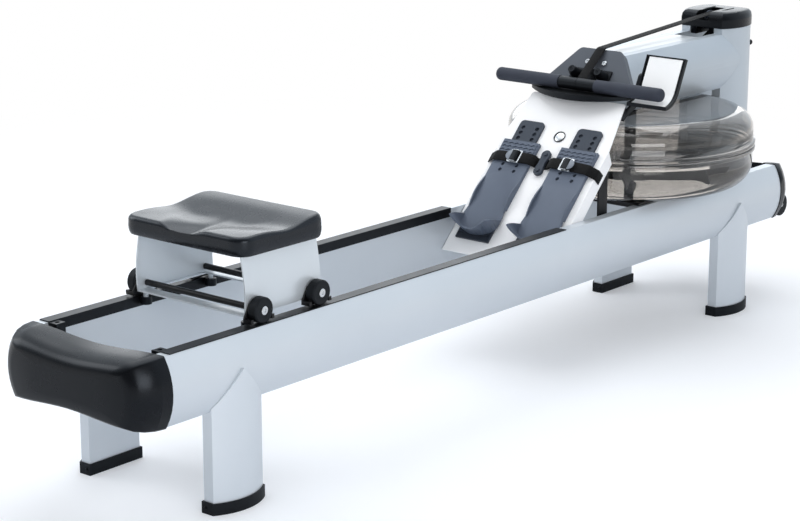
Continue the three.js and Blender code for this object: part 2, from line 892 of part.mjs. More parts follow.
function addPaddle() {
  const shaftBottom = tankBottom + tankWall + seatGap;
  const shaftTop = drumTop + shaftEndRise;
  const hubBottom = tankBottom + paddleHubRise;
  const hubTop = hubBottom + paddleHubHeight;
  const core = revolve([
    [0, shaftBottom], [shaftRadius, shaftBottom], [shaftRadius, hubBottom],
    [paddleHubRadius, hubBottom], [paddleHubRadius, hubTop], [shaftSleeveRadius, hubTop],
    [shaftSleeveRadius, drumBottom - seatGap], [shaftRadius, drumBottom - seatGap],
    [shaftRadius, shaftTop], [0, shaftTop]
  ], 'z', handleSegments);
  const blades = [];
  for (let i = 0; i < paddleBlades; i += 1) {
    const blade = block(
      paddleHubRadius / 2, paddleReach, -paddleThickness / 2, paddleThickness / 2,
      -paddleHeight / 2, paddleHeight / 2
    );
    blade.rotateX(radians(paddleRake));
    blade.rotateZ(Math.PI * 2 * i / paddleBlades);
    blades.push(blade.translate(0, 0, (hubBottom + hubTop) / 2));
  }
  add(machine, 'paddle', join(core, ...blades), 'black').position.y = tankCentre;

  const bore = shaftRadius + runGap;
  const drum = revolve([
    [bore, drumBottom], [drumFlangeRadius, drumBottom], [drumFlangeRadius, drumBottom + drumFlange],
    [drumRadius, drumBottom + drumFlange], [drumRadius, drumTop - drumFlange],
    [drumFlangeRadius, drumTop - drumFlange], [drumFlangeRadius, drumTop], [bore, drumTop], [bore, drumBottom]
  ], 'z', handleSegments);
  add(machine, 'drive_drum', drum, 'grey').position.y = tankCentre;
}

// Post cap, pulley and strap

const pulleyPlace = postFrontFace + pulleyForward;
const pulleyHeight = postTop + pulleyRise;

// The plan of the paired tubes under the cap, moved outwards by grow.
function capRing(grow) {
  const right = tubeOutline(grow).slice(1, -1).map(([outward, across]) => [pairInner + outward, postMid + across]);
  const left = right.map(([x, y]) => [-x, y]).reverse();
  return [...right, ...left];
}

function addCap() {
  const bottom = postTop + seatGap;
  const rings = [capRing(capProud).map(([x, y]) => [x, y, bottom])];
  for (let i = 0; i <= capEdgeSteps; i += 1) {
    const turn = Math.PI / 2 * i / capEdgeSteps;
    const height = bottom + capSkirt + capCrown * Math.sin(turn);
    rings.push(capRing(capProud - capRound * (1 - Math.cos(turn))).map(([x, y]) => [x, y, height]));
  }
  const crown = bottom + capSkirt + capCrown;
  const body = skin(rings, [0, postMid, bottom], [0, postMid, crown]);
  const plug = block(
    -pairInner + seatGap, pairInner - seatGap, postFrontFace + tubeWall, postBack - capPlugMargin,
    bottom - capPlugDepth, bottom + tubeWall
  );
  const ribFrontShare = 0.04;
  const ribArcShares = [0.04, 0.1, 0.2, 0.4, 0.7];
  const ribRiseShares = [0, 0.62, 0.88, 1, 1];
  const ribBase = bottom + capSkirt - capRibHeight;
  const ribProfile = ribArcShares.map((share, i) => [
    postFrontFace + tubeWidth * share,
    bottom + capSkirt + capRibHeight + (capCrown - capRibHeight / 2) * ribRiseShares[i]
  ]);
  ribProfile.push([postFrontFace + tubeWidth * ribArcShares.at(-1), ribBase]);
  ribProfile.push([postFrontFace + tubeWidth * ribFrontShare, ribBase]);
  const ribs = [-1, 1].map((side) => prism(
    ribProfile, 'x', side * capRibOffset - capRibWidth / 2, side * capRibOffset + capRibWidth / 2
  ));
  const slotBack = pulleyPlace + pulleyFlangeRadius + runGap * 2;
  const slot = block(
    -capSlotWidth / 2, capSlotWidth / 2, postFrontFace - cutOverrun, slotBack,
    bottom + capSkirt - capRibHeight, crown + capRibHeight + cutOverrun
  );
  const well = block(
    -capSlotWidth / 2, capSlotWidth / 2, pulleyPlace - pulleyFlangeRadius - runGap * 2, slotBack,
    bottom - capPlugDepth - cutOverrun, crown
  );
  const strapWay = block(
    -capSlotWidth / 2, capSlotWidth / 2, postFrontFace - cutOverrun, pulleyPlace,
    bottom - capPlugDepth - cutOverrun, bottom
  );
  const pin = rod(pulleyPinRadius, 'x', -capSlotWidth / 2 - tubeWall, capSlotWidth / 2 + tubeWall, 12);
  pin.translate(0, pulleyPlace, pulleyHeight);
  add(machine, 'post_cap', join(cut(join(body, plug, ...ribs), slot, well, strapWay), pin), 'black');

  const half = pulleyWidth / 2;
  const bore = pulleyPinRadius + runGap;
  const pulley = revolve([
    [bore, -half], [pulleyFlangeRadius, -half], [pulleyFlangeRadius, -half + pulleyFlange],
    [pulleyRadius, -half + pulleyFlange], [pulleyRadius, half - pulleyFlange],
    [pulleyFlangeRadius, half - pulleyFlange], [pulleyFlangeRadius, half], [bore, half], [bore, -half]
  ], 'x', handleSegments);
  add(machine, 'strap_pulley', pulley.translate(0, pulleyPlace, pulleyHeight), 'grey');
}

// A band of even thickness along a path of [y, z] points, as a closed outline.
function bandOutline(path, thickness) {
  const upper = [];
  const lower = [];
  path.forEach(([y, z], i) => {
    const before = path[Math.max(i - 1, 0)];
    const after = path[Math.min(i + 1, path.length - 1)];
    const length = Math.hypot(after[0] - before[0], after[1] - before[1]);
    const across = [-(after[1] - before[1]) / length, (after[0] - before[0]) / length];
    upper.push([y + across[0] * thickness / 2, z + across[1] * thickness / 2]);
    lower.push([y - across[0] * thickness / 2, z - across[1] * thickness / 2]);
  });
  return [...upper, ...lower.reverse()];
}

// The angle on the pulley at which a straight run from a place meets the strap's circle.
function tangentAngle([y, z], radius, side) {
  const towards = Math.atan2(z - pulleyHeight, y - pulleyPlace);
  const away = Math.acos(radius / Math.hypot(z - pulleyHeight, y - pulleyPlace));
  return THREE.MathUtils.euclideanModulo(towards + side * away + Math.PI, Math.PI * 2) - Math.PI;
}

function addDriveStrap() {
  const kink = [hoodTopPlace - driveHoodClearance, hoodTopHeight + driveHoodClearance + driveThickness];
  const toKink = [kink[0] - handlePlace, kink[1] - handleHeight];
  const reach = Math.hypot(...toKink);
  const start = toKink.map((d, i) => [handlePlace, handleHeight][i] + d / reach * (sleeveRadius + seatGap));
  const wrap = pulleyRadius + seatGap + driveThickness / 2;
  const drumEnd = [tankCentre + drumFlangeRadius + cutOverrun, (drumBottom + drumTop) / 2];
  const meets = tangentAngle(kink, wrap, -1);
  const leaves = tangentAngle(drumEnd, wrap, 1);
  const path = [start, kink];
  for (let i = 0; i <= pulleyWrapSteps; i += 1) {
    const turn = meets + (leaves - meets) * i / pulleyWrapSteps;
    path.push([pulleyPlace + wrap * Math.cos(turn), pulleyHeight + wrap * Math.sin(turn)]);
  }
  path.push(drumEnd);
  const band = prism(bandOutline(path, driveThickness), 'x', -driveWidth / 2, driveWidth / 2);
  add(machine, 'drive_strap', band, 'webbing');
}

// Footboard and what is on it

const board = new THREE.Group();
board.position.set(0, boardTopPlace, boardTopHeight);
board.rotation.x = radians(boardSlope);
machine.add(board);

function onBoard(up, out) {
  return onSlope(boardTopPlace, boardTopHeight, radians(boardSlope), up, out);
}

function addFootboard() {
  const face = new THREE.Shape();
  face.moveTo(-boardTopHalf + boardCorner, 0);
  face.absarc(-boardTopHalf + boardCorner, -boardCorner, boardCorner, Math.PI / 2, Math.PI, false);
  face.lineTo(-boardHalf, -boardElbow);
  face.lineTo(-boardHalf, -boardLength);
  face.lineTo(boardHalf, -boardLength);
  face.lineTo(boardHalf, -boardElbow);
  face.lineTo(boardTopHalf, -boardCorner);
  face.absarc(boardTopHalf - boardCorner, -boardCorner, boardCorner, 0, Math.PI / 2, false);
  const sheet = prism(face, 'z', -boardThickness, 0);
  const flangeOutline = [
    [-boardElbow, 0], [-boardElbow - boardFlangeLead, -boardFlange],
    [-boardLength + boardFlange, -boardFlange], [-boardLength, 0]
  ];
  const flanges = sides.map(([, side]) => {
    const [low, high] = [side * (boardHalf - boardThickness), side * boardHalf].sort((a, b) => a - b);
    return prism(flangeOutline, 'x', low, high);
  });
  add(board, 'footboard', join(sheet, ...flanges), 'white');
}

function addBrace() {
  const reach = railInner - seatGap;
  const leg = reach - braceInset;
  const braceRear = boardTopPlace - braceLead;
  const braceFoot = railBottom + braceRise;
  const legs = [-leg, leg - braceThickness].map((x) => block(
    x, x + braceThickness, braceRear, braceRear + braceDepth, braceFoot, boardTopHeight
  ));
  const foot = block(-reach, reach, braceRear, braceRear + braceDepth, braceFoot, braceFoot + braceThickness);
  const inFront = block(
    -railInner, railInner, -boardLength * 2, boardLength, -boardThickness - seatGap, boardLength * 2
  );
  inFront.rotateX(radians(boardSlope)).translate(0, boardTopPlace, boardTopHeight);
  add(machine, 'footboard_brace', cut(join(foot, ...legs), inFront), 'black');
}

function addFootBase(word, side) {
  const shape = new THREE.Shape();
  shape.moveTo(-baseHeadHalf, -baseShoulder);
  shape.lineTo(-baseHalf, -baseShoulder - baseHalf + baseHeadHalf);
  shape.lineTo(-baseHalf, -baseBottom);
  shape.lineTo(baseHalf, -baseBottom);
  shape.lineTo(baseHalf, -baseShoulder - baseHalf + baseHeadHalf);
  shape.lineTo(baseHeadHalf, -baseShoulder);
  shape.lineTo(baseHeadHalf, -baseTop - baseCorner);
  shape.absarc(baseHeadHalf - baseCorner, -baseTop - baseCorner, baseCorner, 0, Math.PI / 2, false);
  shape.absarc(-baseHeadHalf + baseCorner, -baseTop - baseCorner, baseCorner, Math.PI / 2, Math.PI, false);
  const holes = [];
  for (let row = 0; row < baseHoleRows; row += 1) {
    [-1, 1].forEach((column) => {
      holes.push(circle(column * baseHoleSpacing, -baseHoleFirst - row * baseHolePitch, baseHoleRadius));
    });
  }
  const under = prism(shape.clone(), 'z', seatGap, seatGap + baseHoleFloor);
  const base = join(under, prism(shape, 'z', seatGap, seatGap + baseThickness, holes));
  const tray = block(
    -baseHalf + baseTrayRim, baseHalf - baseTrayRim, -baseBottom + baseTrayRim, -sleeveBottom + baseTrayRim,
    seatGap + baseThickness - baseTrayDepth, seatGap + baseThickness + cutOverrun
  );
  add(board, `foot_base_${word}`, cut(base, tray).translate(side * baseOffset, 0, 0), 'grey');
}

const sleeveUnder = seatGap + baseThickness + sleeveGap;
const sleeveFace = sleeveUnder + sleeveWall;
const sleeveHalf = baseHalf + sleeveGap + sleeveWall;

function zigzagRib(row) {
  const middle = -ribFirst - row * ribPitch;
  const half = sleeveHalf - sleeveWall;
  const upper = [];
  const lower = [];
  for (let i = 0; i <= ribZigzags * 2; i += 1) {
    const x = half * (i / ribZigzags - 1);
    const y = middle + ribSwing * (i % 2 === 0 ? -1 : 1);
    upper.push([x, y + ribWidth / 2]);
    lower.push([x, y - ribWidth / 2]);
  }
  return prism([...upper, ...lower.reverse()], 'z', sleeveFace - ribHeight, sleeveFace + ribHeight);
}

// The heel wall: a U in plan that rises from the sole to a tip on each side and is low at the heel.
function heelWall() {
  const arm = sleeveHalf + sleeveFlare - cupWall;
  const depth = sleeveBottom - cupWall - cupBend;
  const stations = [];
  for (let i = 0; i < cupArmSteps; i += 1) {
    const down = cupFront + (cupBend - cupFront) * i / cupArmSteps;
    stations.push({ angle: -Math.PI / 2, x: -arm, down });
  }
  for (let i = 0; i <= cupSteps; i += 1) {
    const angle = Math.PI / 2 * (2 * i / cupSteps - 1);
    stations.push({ angle, x: arm * Math.sin(angle), down: cupBend + depth * Math.cos(angle) });
  }
  stations.push(...stations.slice(0, cupArmSteps).reverse().map(({ down }) => ({ angle: Math.PI / 2, x: arm, down })));
  const rings = stations.map(({ angle, x, down }) => {
    const rise = (down - cupFront) * cupTipHeight / (cupTipPlace - cupFront);
    const swing = Math.sin(Math.PI / 2 * Math.min(1, Math.abs(angle) / radians(cupTipAngle)));
    const height = Math.min(rise, cupHeelHeight + (cupTipHeight - cupHeelHeight) * swing * swing);
    const lean = cupLean * height / cupTipHeight;
    const normal = [Math.sin(angle), -Math.cos(angle)];
    const place = (out) => [x + normal[0] * out, -down + normal[1] * out];
    const low = sleeveFace - sleeveWall / 2;
    return [
      [...place(0), low], [...place(cupWall), low],
      [...place(cupWall + lean), sleeveFace + height], [...place(lean), sleeveFace + height]
    ];
  });
  const middle = (ring) => ring.reduce((sum, p) => sum.map((v, i) => v + p[i] / ring.length), [0, 0, 0]);
  return skin(rings, middle(rings[0]), middle(rings.at(-1)));
}

// A low rim along the sole's side, highest at its middle.
function soleFin(edge) {
  const profile = [];
  for (let i = 0; i <= finSteps; i += 1) {
    const share = i / finSteps;
    profile.push([-finTop + (finTop - finBottom) * share, sleeveFace + finHeight * Math.sin(Math.PI * share)]);
  }
  profile.push([-finBottom, sleeveUnder], [-finTop, sleeveUnder]);
  const [low, high] = [edge * (sleeveHalf - sleeveWall), edge * sleeveHalf].sort((a, b) => a - b);
  return prism(profile, 'x', low, high);
}

function addHeelCup(word, side) {
  const arm = sleeveHalf + sleeveFlare;
  const flareEnd = sleeveFlareStart + sleeveFlareLength;
  const shape = new THREE.Shape();
  shape.moveTo(sleeveHalf, -sleeveTop);
  shape.lineTo(-sleeveHalf, -sleeveTop);
  shape.lineTo(-sleeveHalf, -sleeveFlareStart);
  shape.lineTo(-arm, -flareEnd);
  shape.lineTo(-arm, -cupBend);
  shape.absellipse(0, -cupBend, arm, sleeveBottom - cupBend, Math.PI, Math.PI * 2, false, 0);
  shape.lineTo(arm, -flareEnd);
  shape.lineTo(sleeveHalf, -sleeveFlareStart);
  const holes = [0, 1].flatMap((row) => [-1, 1].map((column) => circle(
    column * baseHoleSpacing, -sleeveHoleRow - row * sleeveHolePitch, sleeveHoleRadius
  )));
  const plate = prism(shape, 'z', sleeveUnder, sleeveFace, holes);
  const skirts = [-1, 1].map((edge) => {
    const [low, high] = [edge * (sleeveHalf - sleeveWall), edge * sleeveHalf].sort((a, b) => a - b);
    return block(low, high, -sleeveFlareStart, -sleeveTop, seatGap * 2, sleeveUnder + sleeveWall / 2);
  });
  const fins = [-1, 1].map(soleFin);
  const ribs = Array.from({ length: ribCount }, (_, row) => zigzagRib(row));
  const cup = join(plate, ...skirts, ...fins, heelWall(), ...ribs);
  add(board, `heel_cup_${word}`, cup.translate(side * baseOffset, 0, 0), 'grey');
}

const strapHeight = sleeveFace + ribHeight + strapClearance;

function addFootStrap(word, side) {
  const low = seatGap + strapThickness / 2;
  const high = strapHeight + strapThickness / 2;
  const near = baseOffset - sleeveHalf - strapThickness * 2;
  const far = baseOffset + sleeveHalf + strapThickness * 2;
  const edge = boardHalf + seatGap + strapThickness / 2;
  const path = [
    [strapInner - anchorHalfWidth, low], [strapInner, low], [near, high - strapThickness * 2],
    [near + strapThickness * 3, high], [far - strapThickness * 3, high],
    [far, high - strapThickness * 2], [edge, low], [edge, -strapWrap]
  ];
  const band = bandOutline(path, strapThickness).map(([x, z]) => [side * x, z]);
  const strap = prism(band, 'y', -strapPlace - strapWidth / 2, -strapPlace + strapWidth / 2);
  add(board, `foot_strap_${word}`, strap, 'webbing');

  const base = strapHeight + strapThickness + seatGap;
  const mid = side * (baseOffset - buckleOffset);
  const [xFrom, xTo] = [mid - buckleLength / 2, mid + buckleLength / 2];
  const [yFrom, yTo] = [-strapPlace - buckleWidth / 2 - buckleBar, -strapPlace + buckleWidth / 2 + buckleBar];
  const ring = prism(
    roundRectangle(xFrom, xTo, yFrom, yTo, buckleBar), 'z', base, base + buckleBar,
    [roundRectangle(xFrom + buckleBar, xTo - buckleBar, yFrom + buckleBar, yTo - buckleBar, buckleBar / 3)]
  );
  const cam = block(
    mid - buckleCamWidth / 2, mid + buckleCamWidth / 2, yFrom + buckleBar / 2, yTo - buckleBar / 2,
    base, base + buckleHeight
  );
  add(board, `buckle_${word}`, join(ring, cam), 'steel');
}

function addStrapAnchor() {
  const shape = new THREE.Shape();
  const corner = anchorHalfWidth;
  const straight = anchorHalfLength - corner;
  shape.absarc(0, -strapPlace + straight, corner, 0, Math.PI, false);
  shape.lineTo(-corner + anchorWaist, -strapPlace);
  shape.absarc(0, -strapPlace - straight, corner, Math.PI, Math.PI * 2, false);
  shape.lineTo(corner - anchorWaist, -strapPlace);
  const base = seatGap * 2 + strapThickness;
  const plate = prism(shape, 'z', base, base + anchorThickness);
  const bolts = [-1, 1].map((end) => {
    const bolt = rod(anchorBoltRadius, 'z', base, base + anchorThickness + anchorBoltHeight, 6);
    return bolt.translate(0, -strapPlace + end * anchorBoltOffset, 0);
  });
  const feet = [-1, 1].map((end) => {
    const foot = rod(anchorBoltRadius, 'z', seatGap, base + seatGap, 10);
    return foot.translate(0, -strapPlace + end * anchorBoltOffset, 0);
  });
  add(board, 'strap_anchor', join(plate, ...bolts, ...feet), 'grey');
}

// Hood, handle rest and handle

const hood = new THREE.Group();
hood.position.set(0, hoodTopPlace, hoodTopHeight);
hood.rotation.x = radians(hoodSlope);
machine.add(hood);

function hoodOutline(inset) {
  const shape = new THREE.Shape();
  const top = -inset;
  const slope = (hoodBottomHalf - hoodTopHalf) / hoodLength;
  const side = inset * Math.hypot(1, slope);
  const half = (y) => hoodTopHalf - y * slope - side;
  shape.moveTo(-half(-hoodLength), -hoodLength);
  shape.lineTo(half(-hoodLength), -hoodLength);
  shape.lineTo(half(top - hoodCorner), top - hoodCorner);
  shape.quadraticCurveTo(half(top), top, half(top) - hoodCorner, top);
  shape.lineTo(-half(top) + hoodCorner, top);
  shape.quadraticCurveTo(-half(top), top, -half(top - hoodCorner), top - hoodCorner);
  return shape;
}

function addHood() {
  const shell = prism(hoodOutline(0), 'z', -hoodDepth, 0);
  const hollow = prism(hoodOutline(hoodWall), 'z', -hoodDepth - cutOverrun, -hoodWall);
  const open = block(
    -hoodBottomHalf + hoodWall * 2, hoodBottomHalf - hoodWall * 2,
    -hoodLength - cutOverrun, -hoodLength + hoodWall, -hoodDepth - cutOverrun, -hoodWall
  );
  const body = cut(shell, hollow, open);
  const hoodCuts = [];
  const inHood = new THREE.Matrix4().makeRotationX(-radians(hoodSlope));
  sides.forEach(([, side]) => {
    const arm = prism(placedTube(side, pairInner, armMidHeight, seatGap * 2), 'y', handlePlace - hoodDepth, postFrontFace);
    arm.translate(0, -hoodTopPlace, -hoodTopHeight).applyMatrix4(inHood);
    hoodCuts.push(arm);
  });
  const coverWay = block(
    -pairInner, pairInner, handlePlace, postFrontFace, armTop - coverFlange - seatGap * 2, armTop + seatGap * 2
  );
  hoodCuts.push(coverWay.translate(0, -hoodTopPlace, -hoodTopHeight).applyMatrix4(inHood));
  const keepFront = block(-tankRadius, tankRadius, -tankRadius, tankRadius, -hoodWall, hoodDepth);
  const clearance = hoodCuts.map((tool) => cut(tool, keepFront));
  add(hood, 'hood', cut(body, ...clearance), 'grey');
}

function addHandleRest() {
  const shelfFront = handlePlace - shelfReach;
  const radius = (shelfHalf * shelfHalf + shelfBulge * shelfBulge) / (2 * shelfBulge);
  const plan = [[-shelfHalf, shelfBack], [shelfHalf, shelfBack]];
  const belly = [[-shelfHalf, shelfTop], [shelfHalf, shelfTop]];
  for (let i = 0; i <= shelfSteps; i += 1) {
    const across = 1 - 2 * i / shelfSteps;
    const x = shelfHalf * across;
    plan.push([x, shelfFront + radius - Math.sqrt(radius * radius - x * x)]);
    belly.push([x, shelfLow + (shelfThickness - shelfEndThickness) * across * across]);
  }
  const slab = prism(plan, 'z', shelfLow, shelfTop);
  const shelf = intersect(slab, prism(belly, 'y', shelfFront - cutOverrun, shelfBack + cutOverrun));
  const boardClear = block(
    -railInner, railInner, -boardLength, boardCorner, -boardFlange, seatGap
  );
  boardClear.rotateX(radians(boardSlope)).translate(0, boardTopPlace, boardTopHeight);
  const toHood = new THREE.Matrix4().makeRotationX(radians(hoodSlope));
  toHood.setPosition(0, hoodTopPlace, hoodTopHeight);
  const plate = block(
    -restPlateHalf, restPlateHalf, -shelfDown - restPlateLap, -restPlateTop, seatGap, seatGap + restPlateThickness
  );
  const pegs = [-1, 1].map((side) => revolve([
    [0, seatGap], [pegBaseRadius, seatGap], [pegTipRadius, pegHeight], [pegTipRadius / 2, pegHeight],
    [pegTipRadius / 2, pegHeight - pegRecess], [0, pegHeight - pegRecess]
  ], 'z', pegSegments).translate(side * pegOffset, -pegPlace, 0));
  const onHood = [plate, ...pegs].map((piece) => piece.applyMatrix4(toHood));
  const handleWay = rod(gripRadius + seatGap, 'x', -handleHalf, handleHalf, handleSegments);
  handleWay.translate(0, handlePlace, handleHeight);
  add(machine, 'handle_rest', cut(join(shelf, ...onHood), boardClear, handleWay), 'black');
}

function addHandle() {
  const barHalf = handleHalf - gripRound;
  const bar = rod(barRadius, 'x', -barHalf, barHalf, handleSegments);
  add(machine, 'handle_bar', bar.translate(0, handlePlace, handleHeight), 'black');

  const bore = barRadius + seatGap;
  const inner = gripInner + seatGap;
  const capStart = barHalf + seatGap;
  const roundShares = [0, 0.5, 0.8, 1];
  const cap = roundShares.map((share) => [
    gripRadius - gripRound * (1 - Math.sqrt(1 - share * share)),
    handleHalf - gripRound + gripRound * share
  ]);
  const profile = [
    [bore, inner], [gripRadius, inner], ...cap, [0, handleHalf], [0, capStart], [bore, capStart], [bore, inner]
  ];
  sides.forEach(([word, side]) => {
    const grip = revolve(profile, 'x', handleSegments).scale(side, 1, 1);
    add(machine, `grip_${word}`, grip.translate(0, handlePlace, handleHeight), 'rubber');
  });

  const split = sleeveSplit / 2;
  const clamp = revolve([
    [bore, -gripInner], [sleeveRadius, -gripInner], [sleeveRadius, -split],
    [sleeveRadius - sleeveSplitDepth, -split], [sleeveRadius - sleeveSplitDepth, split],
    [sleeveRadius, split], [sleeveRadius, gripInner], [bore, gripInner], [bore, -gripInner]
  ], 'x', handleSegments);
  add(machine, 'handle_clamp', clamp.translate(0, handlePlace, handleHeight), 'black');
}

// Monitor

const monitorLean = radians(monitorTilt);
const monitorBend = [
  handlePlace - monitorBendBack,
  handleHeight - gripRadius - monitorHandleGap + monitorBendRadius
];
const monitorPivotHeight = handleHeight + monitorPivotRise;
const monitorPivotPlace = monitorFacePlace(monitorPivotHeight) + monitorThickness / Math.cos(monitorLean)
  + monitorBossRadius / 2;

// Where the monitor's straight front face stands at a height.
function monitorFacePlace(height) {
  return monitorBend[0] + monitorBendRadius / Math.cos(monitorLean) + (height - monitorBend[1]) * Math.tan(monitorLean);
}

// The monitor's J section at a distance out from its front face, from its top to its tail.
function monitorLine(out, topTrim, tailTrim) {
  const normal = [Math.cos(monitorLean), -Math.sin(monitorLean)];
  const topHeight = handleHeight + monitorRise - topTrim;
  const top = [monitorFacePlace(topHeight) + normal[0] * out, topHeight + normal[1] * out];
  const line = [top];
  const tailTurn = Math.PI / 2 - tailTrim / monitorBendRadius;
  for (let i = 0; i <= monitorBendSteps; i += 1) {
    const turn = -monitorLean - (tailTurn - monitorLean) * i / monitorBendSteps;
    const reach = monitorBendRadius + out;
    line.push([monitorBend[0] + reach * Math.cos(turn), monitorBend[1] + reach * Math.sin(turn)]);
  }
  return line;
}

function addMonitor() {
  const bent = (from, to, trim, xFrom, xTo) => prism(
    [...monitorLine(from, trim, trim), ...monitorLine(to, trim, trim).reverse()], 'x', xFrom, xTo
  );
  const shell = bent(0, monitorThickness, 0, monitorInner, monitorInner + monitorWidth);
  const edges = [monitorInner + monitorPanelRim, monitorInner + monitorWidth - monitorPanelRim];
  const seat = monitorPanelRecess + monitorPanelThickness;
  const recess = bent(-cutOverrun, seat + seatGap, monitorPanelRim - seatGap, edges[0] - seatGap, edges[1] + seatGap);
  const boss = rod(monitorBossRadius, 'x', monitorInner, monitorInner + monitorBossLength, pegSegments);
  const bore = rod(
    monitorPinRadius + runGap, 'x', monitorInner - cutOverrun, monitorInner + monitorBossLength - tubeWall, 12
  );
  [boss, bore].forEach((g) => g.translate(0, monitorPivotPlace, monitorPivotHeight));
  const behind = bent(seat + monitorPanelRim / 2, monitorThickness * 2, -cutOverrun, monitorInner, monitorInner + monitorWidth);
  add(machine, 'monitor', cut(join(cut(shell, recess), intersect(boss, behind)), bore), 'black');
  add(machine, 'monitor_panel', bent(monitorPanelRecess, seat, monitorPanelRim, ...edges), 'white');

  const footInBoard = block(
    monitorArmInner - monitorFootWidth, monitorArmInner + monitorArmWidth,
    -monitorFootLength - boardCorner, -boardCorner, -boardThickness - seatGap - monitorArmWidth, -boardThickness - seatGap
  );
  footInBoard.rotateX(radians(boardSlope)).translate(0, boardTopPlace, boardTopHeight);
  const besideShelf = shelfBack + seatGap * 2;
  const lobe = [];
  for (let i = 0; i <= monitorBendSteps * 2; i += 1) {
    const turn = Math.PI - monitorLean - Math.PI * i / (monitorBendSteps * 2);
    const reach = monitorBossRadius + monitorArmWidth / 2;
    lobe.push([monitorPivotPlace + reach * Math.cos(turn), monitorPivotHeight + reach * Math.sin(turn)]);
  }
  const under = boardThickness + seatGap;
  const arm = [
    onBoard(-monitorFootLength, -under - monitorArmWidth), onBoard(-monitorFootLength, -under),
    onBoard(-boardCorner, -under), [besideShelf, shelfLow], [besideShelf, shelfTop],
    ...lobe, [besideShelf + monitorArmWidth * 3, shelfLow - monitorArmWidth]
  ];
  const plate = prism(arm, 'x', monitorArmInner, monitorArmInner + monitorArmWidth);
  const pin = rod(monitorPinRadius, 'x', monitorArmInner, monitorInner + monitorBossLength - monitorArmWidth, 12);
  pin.translate(0, monitorPivotPlace, monitorPivotHeight);
  add(machine, 'monitor_arm', join(plate, footInBoard, pin), 'black');
}

// Seat carriage

const axleHeight = trackTop + wheelRadius + seatGap;
const frameBottom = trackTop + frameGroundGap;
const frameTop = frameBottom + frameHeight;

// Half-width of the carriage's bowed side plate at a height.
function bow(height, inset) {
  const share = (height - frameBottom) / (frameTop - frameBottom);
  const straight = frameBottomHalf + (frameTopHalf - frameBottomHalf) * share;
  return straight + frameBow * Math.sin(Math.PI * share) * (1 - share / 2) - inset;
}

const wheelInner = bow(axleHeight + guardTop, 0) + guardThickness + seatGap * 3;

function frameOutline(inset) {
  const right = [];
  for (let i = 0; i <= frameBowSteps; i += 1) {
    const height = frameBottom + inset + (frameTop - frameBottom - 2 * inset) * i / frameBowSteps;
    right.push([bow(height, inset), height]);
  }
  return [...right, ...right.map(([x, z]) => [-x, z]).reverse()];
}

function addCarriage() {
  const front = carriageRear + carriageLength;
  const box = prism(frameOutline(0), 'y', carriageRear, front, [frameOutline(frameSheet)]);
  const opening = frameBottomHalf - frameSheet * 3;
  const window = block(
    -opening, opening, carriageRear + frameStrip, front - frameStrip, frameBottom - cutOverrun, frameBottom + frameSheet * 2
  );
  const axles = [['rear', carriageRear + axleInset], ['front', front - axleInset]];
  const holes = axles.map(([, y]) => rod(
    axleRadius + seatGap, 'x', -frameBottomHalf - wheelWidth, frameBottomHalf + wheelWidth, 12
  ).translate(0, y, axleHeight));
  const guides = [-1, 1].flatMap((side) => axles.map(([, y], i) => {
    const place = side * (trackInner - guideRadius - runGap);
    const along = y + (i === 0 ? -1 : 1) * (axleInset - guideInset);
    const roller = rod(guideRadius, 'z', trackTop - guideHeight, trackTop, 14);
    const neck = rod(guideNeckRadius, 'z', trackTop - seatGap, frameBottom + seatGap, 10);
    return join(roller, neck).translate(place, along, 0);
  }));
  add(machine, 'seat_frame', join(cut(box, window, ...holes), ...guides), 'silver');

  axles.forEach(([end, y]) => {
    const reach = wheelInner + wheelWidth + seatGap;
    const axle = rod(axleRadius, 'x', -reach, reach, 12);
    const spacerHalf = bow(axleHeight - spacerRadius, frameSheet) - seatGap * 3;
    const spacer = rod(spacerRadius, 'x', -spacerHalf, spacerHalf, 14);
    const guards = [-1, 1].map((side) => {
      const inner = bow(axleHeight + guardTop, 0) + seatGap;
      const toeGround = trackTop + guardToeGap;
      const plate = prism([
        [-guardHalf, toeGround - axleHeight], [guardHalf, toeGround - axleHeight],
        [guardHalf, toeGround - axleHeight + guardToeHeight], [guardHalf / 2, guardTop], [-guardHalf / 2, guardTop],
        [-guardHalf, toeGround - axleHeight + guardToeHeight]
      ], 'x', inner, inner + guardThickness);
      const toes = [-1, 1].map((along) => {
        const edges = [along * (wheelRadius - seatGap), along * guardHalf].sort((a, b) => a - b);
        return block(
          inner + guardThickness / 2, inner + guardThickness + guardToeReach, ...edges,
          toeGround - axleHeight, toeGround - axleHeight + guardToeHeight
        );
      });
      return join(plate, ...toes).scale(side, 1, 1);
    });
    const whole = join(weld(axle), weld(spacer), ...guards.map((g) => weld(g)));
    add(machine, `axle_${end}`, whole.translate(0, y, axleHeight), 'black');
    const profile = [
      [wheelBore, 0], [wheelRadius - wheelEdge, 0], [wheelRadius, wheelEdge],
      [wheelRadius, wheelWidth - wheelEdge], [wheelRadius - wheelEdge, wheelWidth],
      [wheelHub, wheelWidth], [wheelHub - wheelDish, wheelWidth - wheelDish], [wheelBore, wheelWidth - wheelDish],
      [wheelBore, 0]
    ];
    sides.forEach(([word, side]) => {
      const wheel = revolve(profile, 'x', wheelSegments).translate(wheelInner + seatGap, 0, 0);
      wheel.scale(side, 1, 1).translate(0, y, axleHeight);
      add(machine, `wheel_${end}_${word}`, wheel, 'rubber');
    });
  });
}

